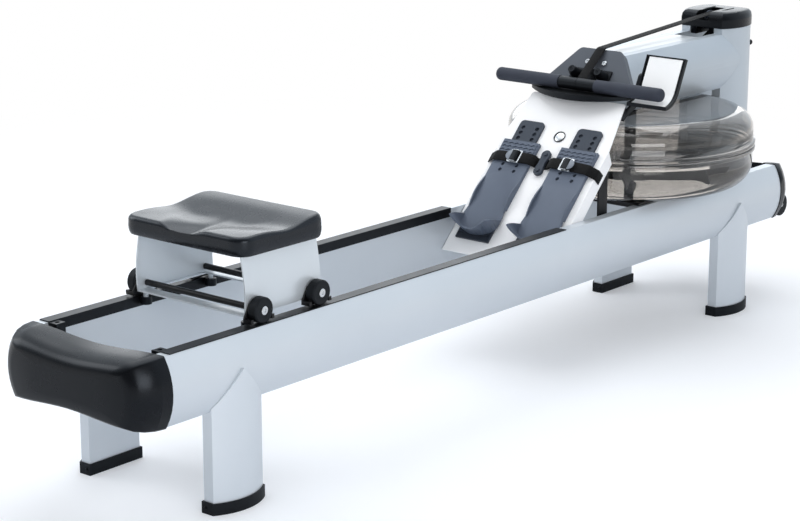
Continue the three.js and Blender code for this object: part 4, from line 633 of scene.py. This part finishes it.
def pad_relief(x, y):
    """Height over the pad's level edge: rises to the front, with a dip, two hollows and a notch at the back."""
    back = y + PAD_LENGTH / 2
    half = NOTCH_HALF + NOTCH_SPREAD * back
    across = max(0.0, 1 - (math.hypot(x, NOTCH_ROUND) - NOTCH_ROUND) / half)
    notch = NOTCH_DEPTH * across ** 1.5 * math.exp(-((back / NOTCH_REACH) ** 2))
    dip = DIP_DEPTH * math.exp(-(((back - DIP_PLACE) / DIP_WIDTH) ** 2))
    hollows = sum(
        HOLLOW_DEPTH * math.exp(-((math.hypot(x - side * HOLLOW_SIDE, back - HOLLOW_PLACE) / HOLLOW_WIDTH) ** 2))
        for side in (-1, 1)
    )
    return FRONT_RISE * back / PAD_LENGTH - notch - dip - hollows


def build_seat_pad():
    def build(bm):
        rings = []
        for share, draw in PAD_SIDE:
            height = PAD_BOTTOM + PAD_THICKNESS * share
            rings.append([at(x, PAD_MIDDLE + y, height) for x, y in pad_plan(PAD_DRAW * draw)])
        edge = PAD_BOTTOM + PAD_THICKNESS
        inset = PAD_DRAW * PAD_SIDE[-1][1]
        for i in range(1, PAD_ROUND_STEPS + 1):
            turn = math.pi / 2 * i / PAD_ROUND_STEPS
            grown = inset + PAD_ROUND * (1 - math.cos(turn))
            drop = PAD_ROUND * (1 - math.sin(turn))
            rings.append([
                at(x, PAD_MIDDLE + y, edge - drop + pad_relief(x, y) * math.sin(turn)) for x, y in pad_plan(grown)
            ])
        rim = pad_plan(inset + PAD_ROUND)
        for ring in range(1, PAD_TOP_RINGS):
            share = 1 - ring / PAD_TOP_RINGS
            rings.append([
                at(x * share, PAD_MIDDLE + y * share, edge + pad_relief(x * share, y * share)) for x, y in rim
            ])
        fill_loft(bm, rings)

    mesh = mesh_from("seat_pad_foam", build, 60.0)
    pad = new_piece("seat_pad_foam", mesh, "seat", "seat", "seat_foam", ["seat_pad"])


build_seat_pad()


# Tank: the two clear shells with round shoulders, and the water in them

TANK_SEGMENTS = 128
ARC_STEPS = 16
FLANGE_RADIUS = 281.0
FLANGE_THICKNESS = 9.6
SEAL_HALF = 0.9
NECK_RADIUS = 14.0
TANK_TOP_FLAT, TANK_TOP_RISE = 224.0, 43.0
TANK_BOTTOM_FLAT, TANK_BOTTOM_RISE = 222.0, 52.0
LIP_ROUND = 1.5
WATER_LEVEL = 401.0
# The water reaches this far into the wall, so that no skin of air shines between the two.
WATER_OVERLAP = 0.6


def in_tank(x, y, z):
    return at(x, TANK_CENTRE + y, z)


def arc(centre_radius, centre_height, across, rise, start, end):
    """Part of an ellipse's quarter in the tank's section, from one share of the right angle to another."""
    turns = [math.pi / 2 * (start + (end - start) * i / ARC_STEPS) for i in range(ARC_STEPS + 1)]
    return [(centre_radius + across * math.cos(t), centre_height + rise * math.sin(t)) for t in turns]


def build_tank():
    upper_centre, lower_centre = TANK_TOP - TANK_TOP_RISE, TANK_BOTTOM + TANK_BOTTOM_RISE
    inner = TANK_RADIUS - TANK_WALL
    foot, head = FLANGE_HEIGHT + SEAL_HALF, FLANGE_HEIGHT - SEAL_HALF
    upper_lip, lower_lip = foot + FLANGE_THICKNESS, head - FLANGE_THICKNESS
    upper = [
        (NECK_RADIUS, TANK_TOP),
        *arc(TANK_TOP_FLAT, upper_centre, TANK_RADIUS - TANK_TOP_FLAT, TANK_TOP_RISE, 1, 0),
        (TANK_RADIUS, upper_lip + LIP_ROUND), (TANK_RADIUS + LIP_ROUND, upper_lip),
        (FLANGE_RADIUS - LIP_ROUND, upper_lip), (FLANGE_RADIUS, upper_lip - LIP_ROUND),
        (FLANGE_RADIUS, foot + LIP_ROUND), (FLANGE_RADIUS - LIP_ROUND, foot), (inner, foot),
        *arc(TANK_TOP_FLAT, upper_centre, inner - TANK_TOP_FLAT, TANK_TOP_RISE - TANK_WALL, 0, 1),
        (NECK_RADIUS, TANK_TOP - TANK_WALL), (NECK_RADIUS, TANK_TOP),
    ]
    lower = [
        (0, TANK_BOTTOM),
        *arc(TANK_BOTTOM_FLAT, lower_centre, TANK_RADIUS - TANK_BOTTOM_FLAT, TANK_BOTTOM_RISE, -1, 0),
        (TANK_RADIUS, lower_lip - LIP_ROUND), (TANK_RADIUS + LIP_ROUND, lower_lip),
        (FLANGE_RADIUS - LIP_ROUND, lower_lip), (FLANGE_RADIUS, lower_lip + LIP_ROUND),
        (FLANGE_RADIUS, head - LIP_ROUND), (FLANGE_RADIUS - LIP_ROUND, head), (inner, head),
        *arc(TANK_BOTTOM_FLAT, lower_centre, inner - TANK_BOTTOM_FLAT, TANK_BOTTOM_RISE - TANK_WALL, 0, -1),
        (0, TANK_BOTTOM + TANK_WALL),
    ]
    wet = inner + WATER_OVERLAP
    water = [
        (0, TANK_BOTTOM + TANK_WALL - WATER_OVERLAP),
        *arc(
            TANK_BOTTOM_FLAT, lower_centre, wet - TANK_BOTTOM_FLAT,
            TANK_BOTTOM_RISE - TANK_WALL + WATER_OVERLAP, -1, 0
        ),
        (wet, WATER_LEVEL), (0, WATER_LEVEL),
    ]
    for name, profile, finish, slot, stands_for in (
        ("tank_upper_shell", upper, "smoke", "smoke_clear", ["tank_upper"]),
        ("tank_lower_shell", lower, "smoke", "smoke_clear", ["tank_lower"]),
        ("tank_water", water, "water", None, []),
    ):
        mesh = mesh_from(name, lambda bm, line=profile: fill_lathe(bm, line, TANK_SEGMENTS, in_tank), 50.0)
        new_piece(name, mesh, finish, "frame", slot, stands_for)


build_tank()


# Straps: a tree that sweeps a flat woven band along a path

def smooth_path(points):
    """Rounds the corners of a path by cutting each three times, with both ends kept."""
    for _ in range(3):
        cut = [points[0]]
        for a, b in zip(points, points[1:]):
            cut += [a.lerp(b, 0.25), a.lerp(b, 0.75)]
        points = cut + [points[-1]]
    return points


def path_length(points):
    return sum((b - a).length for a, b in zip(points, points[1:]))


def straight(start, end, steps):
    """Points at even steps from one place to another, with both ends."""
    return [start.lerp(end, i / steps) for i in range(steps + 1)]


def band_recipe():
    """Sweeps a flat section with half round edges along a path, whose points say which way its width lies."""
    tree, given, inputs = new_recipe("flat_band", ("Width", "Thickness"))
    path = add_node(tree, "GeometryNodeMeshToCurve", None, {"Mesh": given["Geometry"]})
    aim = add_node(tree, "GeometryNodeInputNamedAttribute", {"data_type": "FLOAT_VECTOR", "Name": "aim"})
    laid = add_node(
        tree, "GeometryNodeSetCurveNormal", {"mode": "FREE"},
        {"Curve": path.outputs["Curve"], "Normal": aim.outputs["Attribute"]}
    )
    length = add_node(tree, "GeometryNodeSplineParameter")
    along = add_node(tree, "GeometryNodeCaptureAttribute", None, {"Geometry": laid.outputs["Curve"]})
    along.capture_items.new("FLOAT", "Along")
    tree.links.new(length.outputs["Length"], along.inputs["Along"])

    # The section's eight points: four round one edge from underneath, then four round the other from on top.
    point = add_node(tree, "GeometryNodeInputIndex").outputs["Index"]
    other = add_node(tree, "ShaderNodeMath", {"operation": "GREATER_THAN", 1: 3.5}, {0: point})
    step = add_node(tree, "ShaderNodeMath", {"operation": "SUBTRACT"}, {0: point, 1: other.outputs[0]})
    turn = add_node(
        tree, "ShaderNodeMath", {"operation": "MULTIPLY_ADD", 1: math.pi / 3, 2: -math.pi / 2}, {0: step.outputs[0]}
    )
    reach = add_node(tree, "ShaderNodeMath", {"operation": "COSINE"}, {0: turn.outputs[0]})
    rise = add_node(tree, "ShaderNodeMath", {"operation": "SINE"}, {0: turn.outputs[0]})
    edge = add_node(tree, "ShaderNodeMath", {"operation": "MULTIPLY", 1: 0.5}, {0: given["Thickness"]})
    inwards = add_node(tree, "ShaderNodeMath", {"operation": "MULTIPLY", 1: -0.5}, {0: given["Thickness"]})
    flat = add_node(
        tree, "ShaderNodeMath", {"operation": "MULTIPLY_ADD", 1: 0.5}, {0: given["Width"], 2: inwards.outputs[0]}
    )
    side = add_node(tree, "ShaderNodeMath", {"operation": "MULTIPLY_ADD", 1: -2.0, 2: 1.0}, {0: other.outputs[0]})
    offset = add_node(tree, "ShaderNodeMath", {"operation": "MULTIPLY"}, {0: side.outputs[0], 1: flat.outputs[0]})
    across = add_node(
        tree, "ShaderNodeMath", {"operation": "MULTIPLY_ADD"},
        {0: reach.outputs[0], 1: edge.outputs[0], 2: offset.outputs[0]}
    )
    height = add_node(tree, "ShaderNodeMath", {"operation": "MULTIPLY"}, {0: rise.outputs[0], 1: edge.outputs[0]})
    spot = add_node(tree, "ShaderNodeCombineXYZ", None, {"X": across.outputs[0], "Y": height.outputs[0]})
    ring = add_node(tree, "GeometryNodeCurvePrimitiveCircle", {"mode": "RADIUS", "Resolution": 8})
    shaped = add_node(
        tree, "GeometryNodeSetPosition", None, {"Geometry": ring.outputs["Curve"], "Position": spot.outputs["Vector"]}
    )
    section = add_node(tree, "GeometryNodeCaptureAttribute", None, {"Geometry": shaped.outputs["Geometry"]})
    section.capture_items.new("FLOAT", "Across")
    tree.links.new(across.outputs[0], section.inputs["Across"])

    swept = add_node(
        tree, "GeometryNodeCurveToMesh", {"Fill Caps": True},
        {"Curve": along.outputs["Geometry"], "Profile Curve": section.outputs["Geometry"]}
    )
    # The woven pattern's map: metres along and across the band.
    map_spot = add_node(
        tree, "ShaderNodeCombineXYZ", None, {"X": along.outputs["Along"], "Y": section.outputs["Across"]}
    )
    mapped = add_node(
        tree, "GeometryNodeStoreNamedAttribute", {"data_type": "FLOAT2", "domain": "CORNER", "Name": "UVMap"},
        {"Geometry": swept.outputs["Mesh"], "Value": map_spot.outputs["Vector"]}
    )
    end_recipe(tree, given, mapped.outputs["Geometry"])
    return tree, inputs


BAND = band_recipe()


def sweep_band(name, path, across, width, thickness):
    """A flat band along a path. Across gives the direction of its width at a share of the path's length."""
    ways = [(b - a).normalized() for a, b in zip(path, path[1:])]
    sides = []
    for i in range(len(path)):
        ahead = (ways[max(i - 1, 0)] + ways[min(i, len(ways) - 1)]).normalized()
        side = across(path_length(path[:i + 1]) / path_length(path))
        sides.append((side - ahead * side.dot(ahead)).normalized())
    edges = [(i, i + 1) for i in range(len(path) - 1)]
    return grow(name, path, edges, sides, BAND, {"Width": width, "Thickness": thickness}, "webbing", 50.0)


DRIVE_STRAP = (24.0, 1.8)
FOOT_STRAP = (25.0, 1.9)
# The strap leaves the handle's sleeve, bends over the hood's edge and goes round the pulley in the post's cap.
SLEEVE_RADIUS = 13.9
HOOD_BEND = (521.8, 636.7)
PAST_BEND = (HOOD_BEND[0] + 14, HOOD_BEND[1] + 0.7)
# Just short of the hood's edge the run from the handle ends: a share of the way back to the handle.
RUN_END = 0.09
PULLEY = (985.0, 645.5)
PULLEY_WRAP = 20.3
WRAP_FROM, WRAP_TO = 90.6, -76.0
RUN_STEPS, TOP_STEPS, WRAP_STEPS, DOWN_STEPS = 30, 12, 24, 40
DRUM_MEETING = (23.0, TANK_CENTRE + 10, 512.5)


def build_drive_strap():
    """The pull strap in two pieces: a straight run from the handle, and one from the hood over the pulley."""
    sideways = Vector((1, 0, 0))
    bend, handle = at(0, *HOOD_BEND), at(0, *HANDLE)
    start = handle + (bend - handle).normalized() * SLEEVE_RADIUS * MM
    end = bend.lerp(start, RUN_END)
    run = straight(start, end, RUN_STEPS)
    mesh = sweep_band("pull_strap_near", run, lambda share: sideways, *DRIVE_STRAP)
    near_piece = new_piece("pull_strap_near", mesh, "webbing", None, "black_webbing", ["drive_strap"])
    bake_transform(near_piece)

    over_edge = smooth_path([end, bend, at(0, *PAST_BEND)])
    turns = [math.radians(WRAP_FROM + (WRAP_TO - WRAP_FROM) * i / WRAP_STEPS) for i in range(WRAP_STEPS + 1)]
    wrap = [at(0, PULLEY[0] + PULLEY_WRAP * math.cos(t), PULLEY[1] + PULLEY_WRAP * math.sin(t)) for t in turns]
    top = straight(over_edge[-1], wrap[0], TOP_STEPS)[1:-1]
    down = straight(wrap[-1], at(*DRUM_MEETING), DOWN_STEPS)[1:]
    path = over_edge + top + wrap + down
    turn_from = path_length(over_edge + top + wrap) / path_length(path)

    def across(share):
        """Flat over the pulley, and upright from four fifths of the way down to the drum."""
        way_down = max(0.0, (share - turn_from) / (1 - turn_from))
        twist = min(1.0, way_down / 0.8)
        angle = math.pi / 2 * twist * twist * (3 - 2 * twist)
        return Vector((math.cos(angle), 0, math.sin(angle)))

    mesh = sweep_band("pull_strap_far", path, across, *DRIVE_STRAP)
    new_piece("pull_strap_far", mesh, "webbing", "frame", "black_webbing", ["drive_strap"])


build_drive_strap()


# A strap's middle stays this far from the board's face and from its side edge
OVER_FACE, OVER_EDGE = 1.4, 1.3
# The straps bend down this far beside the soles
BESIDE_SOLE = 4.0


def build_foot_straps():
    """The two foot straps over the heel cups, each with its loose tail folded back through the buckle."""
    for word, side in LEFT_AND_RIGHT:
        near, far = FOOT_OFFSET - SOLE_HALF - BESIDE_SOLE, FOOT_OFFSET + SOLE_HALF + BESIDE_SOLE
        edge = BOARD_HALF + OVER_EDGE
        # Down the board by a little more at the outer side, as the straps lie in the photograph.
        web = [
            (4, 0, OVER_FACE), (15, 0, OVER_FACE), (near, 0, STRAP_HEIGHT - 3), (near + 7, 0, STRAP_HEIGHT + 1),
            (FOOT_OFFSET, 1, STRAP_HEIGHT + 1.6), (far - 6, 2, STRAP_HEIGHT + 1), (far, 3, STRAP_HEIGHT - 3),
            (edge - 2, 4, OVER_FACE), (edge, 4, OVER_FACE - 1), (edge, 4, -18),
        ]
        tail = [
            (BUCKLE_PLACE + 14, 0, STRAP_HEIGHT + 3.7), (BUCKLE_PLACE + 2, 0, STRAP_HEIGHT + 3.9),
            (BUCKLE_PLACE - 16, 0, STRAP_HEIGHT + 3.9), (near + 6, 0, STRAP_HEIGHT + 3.4),
            (near - 3, 0, STRAP_HEIGHT), (near - 8, 0, STRAP_HEIGHT - 4),
        ]
        for part, line, stands_for in (("web", web, [f"foot_strap_{word}"]), ("tail", tail, [])):
            path = smooth_path([on_board(side * x, STRAP_PLACE + down, out) for x, down, out in line])
            name = f"foot_strap_{word}_{part}"
            mesh = sweep_band(name, path, lambda share: BOARD_UP, *FOOT_STRAP)
            new_piece(name, mesh, "webbing", "frame", "black_webbing", stands_for)


build_foot_straps()


# Fasteners: a tree that sets a chamfered head with a driven socket on each point

def fastener_recipe():
    """Makes one head from a cylinder, and sets it on every point so that it faces the point's direction."""
    sizes = ("Head radius", "Head height", "Socket depth")
    tree, given, inputs = new_recipe("socket_head_fasteners", sizes)
    head = add_node(
        tree, "GeometryNodeMeshCylinder", {"fill_type": "NGON", "Vertices": 24},
        {"Radius": given["Head radius"], "Depth": given["Head height"]}
    )
    # A chamfer round the head's edge, then the socket: two insets of the top face.
    chamfer = add_node(
        tree, "GeometryNodeExtrudeMesh", {"mode": "FACES", "Offset Scale": 0.0},
        {"Mesh": head.outputs["Mesh"], "Selection": head.outputs["Top"]}
    )
    lift = add_node(tree, "ShaderNodeMath", {"operation": "MULTIPLY", 1: 0.3}, {0: given["Head height"]})
    raised = add_node(tree, "ShaderNodeCombineXYZ", None, {"Z": lift.outputs["Value"]})
    moved = add_node(
        tree, "GeometryNodeSetPosition", None,
        {"Geometry": chamfer.outputs["Mesh"], "Selection": chamfer.outputs["Top"], "Offset": raised.outputs["Vector"]}
    )
    eased = add_node(
        tree, "GeometryNodeScaleElements", {"domain": "FACE", "Scale": 0.82},
        {"Geometry": moved.outputs["Geometry"], "Selection": chamfer.outputs["Top"]}
    )
    inset = add_node(
        tree, "GeometryNodeExtrudeMesh", {"mode": "FACES", "Offset Scale": 0.0},
        {"Mesh": eased.outputs["Geometry"], "Selection": chamfer.outputs["Top"]}
    )
    rim = add_node(
        tree, "GeometryNodeScaleElements", {"domain": "FACE", "Scale": 0.5},
        {"Geometry": inset.outputs["Mesh"], "Selection": inset.outputs["Top"]}
    )
    depth = add_node(tree, "ShaderNodeMath", {"operation": "MULTIPLY", 1: -1.0}, {0: given["Socket depth"]})
    socket = add_node(
        tree, "GeometryNodeExtrudeMesh", {"mode": "FACES"},
        {
            "Mesh": rim.outputs["Geometry"], "Selection": inset.outputs["Top"],
            "Offset Scale": depth.outputs["Value"],
        }
    )
    aim = add_node(tree, "GeometryNodeInputNamedAttribute", {"data_type": "FLOAT_VECTOR", "Name": "aim"})
    turn = add_node(
        tree, "FunctionNodeAlignRotationToVector", {"axis": "Z"}, {"Vector": aim.outputs["Attribute"]}
    )
    placed = add_node(
        tree, "GeometryNodeInstanceOnPoints", None,
        {"Points": given["Geometry"], "Instance": socket.outputs["Mesh"], "Rotation": turn.outputs["Rotation"]}
    )
    end_recipe(tree, given, placed.outputs["Instances"])
    return tree, inputs


FASTENER = fastener_recipe()
SOCKET_DEPTH_SHARE = 0.6

# Each kind of head: finish, slot, radius and height
HEADS = {
    "hood_bolts": ("steel", "bright_steel", 6.0, 3.0),
    "peg_screws": ("black", "black_steel", 3.6, 1.4),
    "post_bolts": ("black_paint", "black_steel", 6.5, 3.2),
    "roller_hub": ("steel", "bright_steel", 8.0, 2.4),
    "transport_hub": ("steel", "bright_steel", 5.2, 2.0),
    "shoe_screws": ("black", "black_steel", 3.2, 1.6),
}
# Places on the hood: across from its middle, down its face and out from it
HOOD_BOLT = (22.2, 34.0, 1.6)
PEG_SCREW = (34.5, 69.0, 29.6)
# Places on the machine: across from its middle, along and up
POST_BOLT = (54.0, 1058.4, 590.0)
TRANSPORT_HUB = (163.6, 1051.0, 211.5)
ROLLER_HUB_REACH, ROLLER_HUB_HEIGHT = 164.2, 342.3
ROLLER_HUBS_ALONG = {"rear": -741.5, "front": -588.5}
# In from the shoe's inner side, and out from its end
SHOE_SCREW_IN, SHOE_SCREW_OUT = 9.0, 0.4


def set_fasteners(kind, which, body, places):
    """Heads of one kind at the given places, each a point and the direction it faces, as one mesh on one body."""
    finish, slot, radius, height = HEADS[kind]
    sizes = {"Head radius": radius, "Head height": height, "Socket depth": height * SOCKET_DEPTH_SHARE}
    points, directions = zip(*places)
    mesh = grow(kind + which, points, [], directions, FASTENER, sizes, finish, 30.0)
    new_piece(kind + which, mesh, finish, body, slot)


def on_both_sides(spot, place, facing):
    across, second, third = place
    return [(spot(side * across, second, third), facing) for _, side in LEFT_AND_RIGHT]


def build_fasteners():
    right = Vector((1, 0, 0))
    back = Vector((0, 1, 0))
    set_fasteners("hood_bolts", "", "frame", on_both_sides(on_hood, HOOD_BOLT, HOOD_OUT))
    set_fasteners("peg_screws", "", "frame", on_both_sides(on_hood, PEG_SCREW, HOOD_OUT))
    set_fasteners("post_bolts", "", "frame", on_both_sides(at, POST_BOLT, back))

    for end, along in ROLLER_HUBS_ALONG.items():
        for word, side in LEFT_AND_RIGHT:
            hub = at(side * ROLLER_HUB_REACH, along, ROLLER_HUB_HEIGHT)
            set_fasteners("roller_hub", f"_{end}_{word}", f"roller_{end}_{word}", [(hub, right * side)])
    for word, side in LEFT_AND_RIGHT:
        across, along, up = TRANSPORT_HUB
        hub = at(side * across, along, up)
        set_fasteners("transport_hub", "_" + word, "transport_" + word, [(hub, right * side)])

    for end in ENDS:
        screws = []
        for word, side in LEFT_AND_RIGHT:
            low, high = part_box(f"foot_pad{end}_{word}")
            inner_side = high[0] if side < 0 else low[0]
            screw = (
                inner_side + side * SHOE_SCREW_IN * MM, low[1] - SHOE_SCREW_OUT * MM, (low[2] + high[2]) / 2
            )
            screws.append((Vector(screw), -back))
        set_fasteners("shoe_screws", end, "frame", screws)


build_fasteners()


# Small pieces on the footboard: the round badge and the buckles' cams and tabs

BADGE_MIDDLE = (4.0, 106.5)
BADGE_SEGMENTS = 48


def in_badge(x, down, out):
    return on_board(BADGE_MIDDLE[0] + x, BADGE_MIDDLE[1] + down, out)


def build_badge():
    """The round badge: a domed bright disc in a thin black rim."""
    rim = [(11.9, 0.35), (11.9, 1.6), (12.4, 2.2), (13.4, 2.2), (14.0, 1.6), (14.0, 0.35), (11.9, 0.35)]
    disc = [(0, 1.9), (7.0, 1.8), (11.0, 1.4), (11.7, 1.0), (11.7, 0.35), (0, 0.35)]
    for name, profile, finish, slot in (
        ("badge_rim", rim, "black", "black_plastic"), ("badge_disc", disc, "steel", "bright_steel"),
    ):
        mesh = mesh_from(name, lambda bm, line=profile: fill_lathe(bm, line, BADGE_SEGMENTS, in_badge), 25.0)
        new_piece(name, mesh, finish, "frame", slot)


def build_buckle_parts():
    cam_section = [(-9, 0.6), (-9, 5.4), (-6, 8.6), (0, 9.6), (7, 8.2), (9, 5.0), (9, 0.6)]
    half_turn = [math.pi * (i / 16 - 0.5) for i in range(17)]
    tab_outline = [(0.0, -12.5), *[(13.0 * math.cos(t), 12.5 * math.sin(t)) for t in half_turn], (0.0, 12.5)]
    for word, side in LEFT_AND_RIGHT:

        def spot(x, down, out, side=side):
            return on_board(side * (BUCKLE_PLACE + x), STRAP_PLACE + down, BUCKLE_FACE + out)

        cam = [[spot(x, down, out) for x, out in cam_section] for down in (-12.4, -11.6, 11.6, 12.4)]
        tab = [
            [spot(8 + x * shrink, down * shrink, out) for x, down in tab_outline]
            for shrink, out in ((0.94, 4.6), (1.0, 5.2), (1.0, 6.6), (0.94, 7.2))
        ]
        for part, rings, finish, slot in (
            ("cam", cam, "black", "black_plastic"), ("tab", tab, "tab", "grey_plastic"),
        ):
            name = f"buckle_{part}_{word}"
            mesh = mesh_from(name, lambda bm, rings=rings: fill_loft(bm, rings), 40.0)
            new_piece(name, mesh, finish, "frame", slot)


build_badge()
build_buckle_parts()


# Floor, world and lamps

WHITE = shade("#ffffff")
FLOOR_HALF = 30.0
# From and to this far from the machine's middle, in metres, the floor turns plain white where it is looked at.
WHITE_FROM, WHITE_TO = 1.1, 3.2
# Light added to the floor where it is looked at, so that the shadow stays as pale as in the photograph
FLOOR_LIFT = 0.2
# Behind the camera the surroundings are dark in gloss, so that black surfaces stay black
DARK_SIDE = (0.45, -0.89, 0.0)
DARK_STRENGTH = 0.22
# The lamps aim at the machine's middle, in metres
LAMP_AIM = (0, 0, 0.3)


def build_floor():
    """A pale matt floor: it keeps the machine's shadow near it and is plain white further out."""
    material, tree = new_material("pale_studio_floor")
    rays = add_node(tree, "ShaderNodeLightPath").outputs
    seen = add_node(
        tree, "ShaderNodeMath", {"operation": "MAXIMUM"}, {0: rays["Is Camera Ray"], 1: rays["Is Transmission Ray"]}
    )
    place = add_node(tree, "ShaderNodeTexCoord").outputs["Object"]
    gloss = add_node(
        tree, "ShaderNodeMath", {"operation": "MAXIMUM"}, {0: seen.outputs[0], 1: rays["Is Glossy Ray"]}
    )
    reach = add_node(tree, "ShaderNodeVectorMath", {"operation": "LENGTH"}, {0: place})
    far = add_node(
        tree, "ShaderNodeMapRange",
        {"From Min": WHITE_FROM, "From Max": WHITE_TO, "interpolation_type": "SMOOTHSTEP"},
        {"Value": reach.outputs["Value"]}
    )
    whole = add_node(tree, "ShaderNodeMath", {"operation": "MULTIPLY"}, {0: gloss.outputs[0], 1: far.outputs[0]})
    lift = add_node(tree, "ShaderNodeMath", {"operation": "MULTIPLY", 1: FLOOR_LIFT}, {0: seen.outputs[0]})
    paint = add_node(tree, "ShaderNodeBsdfDiffuse", {"Color": shade("#eaedf2")})
    glow = add_node(tree, "ShaderNodeEmission", {"Color": WHITE}, {"Strength": lift.outputs[0]})
    near = add_node(tree, "ShaderNodeAddShader", None, {0: paint.outputs[0], 1: glow.outputs[0]})
    white = add_node(tree, "ShaderNodeEmission", {"Color": WHITE, "Strength": 1.0})
    both = add_node(
        tree, "ShaderNodeMixShader", None, {0: whole.outputs[0], 1: near.outputs[0], 2: white.outputs[0]}
    )
    add_node(tree, "ShaderNodeOutputMaterial", None, {"Surface": both.outputs[0]})
    mesh = bpy.data.meshes.new("studio_floor")
    corners = [(x * FLOOR_HALF, y * FLOOR_HALF, 0) for x, y in ((-1, -1), (1, -1), (1, 1), (-1, 1))]
    mesh.from_pydata(corners, [], [(0, 1, 2, 3)])
    mesh.materials.append(material)
    made = bpy.data.objects.new("studio_floor", mesh)
    bpy.context.scene.collection.objects.link(made)


def build_world():
    """Soft light all round. The background is white, also in gloss and glass, and dims behind the camera."""
    world = bpy.data.worlds.new("studio")
    world.use_nodes = True
    tree = world.node_tree
    tree.nodes.clear()
    rays = add_node(tree, "ShaderNodeLightPath").outputs
    seen = add_node(
        tree, "ShaderNodeMath", {"operation": "MAXIMUM"}, {0: rays["Is Camera Ray"], 1: rays["Is Transmission Ray"]}
    )
    direction = add_node(tree, "ShaderNodeTexCoord").outputs["Generated"]
    behind = add_node(
        tree, "ShaderNodeVectorMath", {"operation": "DOT_PRODUCT", 1: DARK_SIDE}, {0: direction}
    )
    dim = add_node(
        tree, "ShaderNodeMapRange", {"From Min": 0.0, "From Max": 0.45, "To Min": 1.0, "To Max": DARK_STRENGTH},
        {"Value": behind.outputs["Value"]}
    )
    soft = add_node(tree, "ShaderNodeBackground", {"Color": shade("#f7fbff"), "Strength": 0.55})
    gloss = add_node(tree, "ShaderNodeBackground", {"Color": shade("#ecf6ff")}, {"Strength": dim.outputs[0]})
    white = add_node(tree, "ShaderNodeBackground", {"Color": WHITE, "Strength": 1.0})
    lit = add_node(
        tree, "ShaderNodeMixShader", None, {0: rays["Is Glossy Ray"], 1: soft.outputs[0], 2: gloss.outputs[0]}
    )
    mixed = add_node(tree, "ShaderNodeMixShader", None, {0: seen.outputs[0], 1: lit.outputs[0], 2: white.outputs[0]})
    add_node(tree, "ShaderNodeOutputWorld", None, {"Surface": mixed.outputs[0]})
    bpy.context.scene.world = world


def add_softbox(name, place, size, power, gloss=1.0):
    data = bpy.data.lights.new(name, "AREA")
    data.specular_factor = gloss
    data.shape = "RECTANGLE"
    data.size = size[0]
    data.size_y = size[1]
    data.energy = power
    lamp = bpy.data.objects.new(name, data)
    lamp.location = place
    lamp.rotation_euler = (Vector(LAMP_AIM) - Vector(place)).to_track_quat("-Z", "Y").to_euler()
    bpy.context.scene.collection.objects.link(lamp)


build_floor()
build_world()
add_softbox("overhead_softbox", (-0.6, 0.6, 3.4), (3.4, 3.8), 70)
add_softbox("left_softbox", (-3.4, -1.6, 2.4), (2.0, 2.4), 34, 0.15)
add_softbox("front_softbox", (3.4, -2.2, 1.2), (2.4, 1.6), 54, 0.08)
add_softbox("back_softbox", (-3.6, 4.4, 1.9), (4.6, 2.4), 48)

bpy.context.scene.view_settings.view_transform = "Standard"
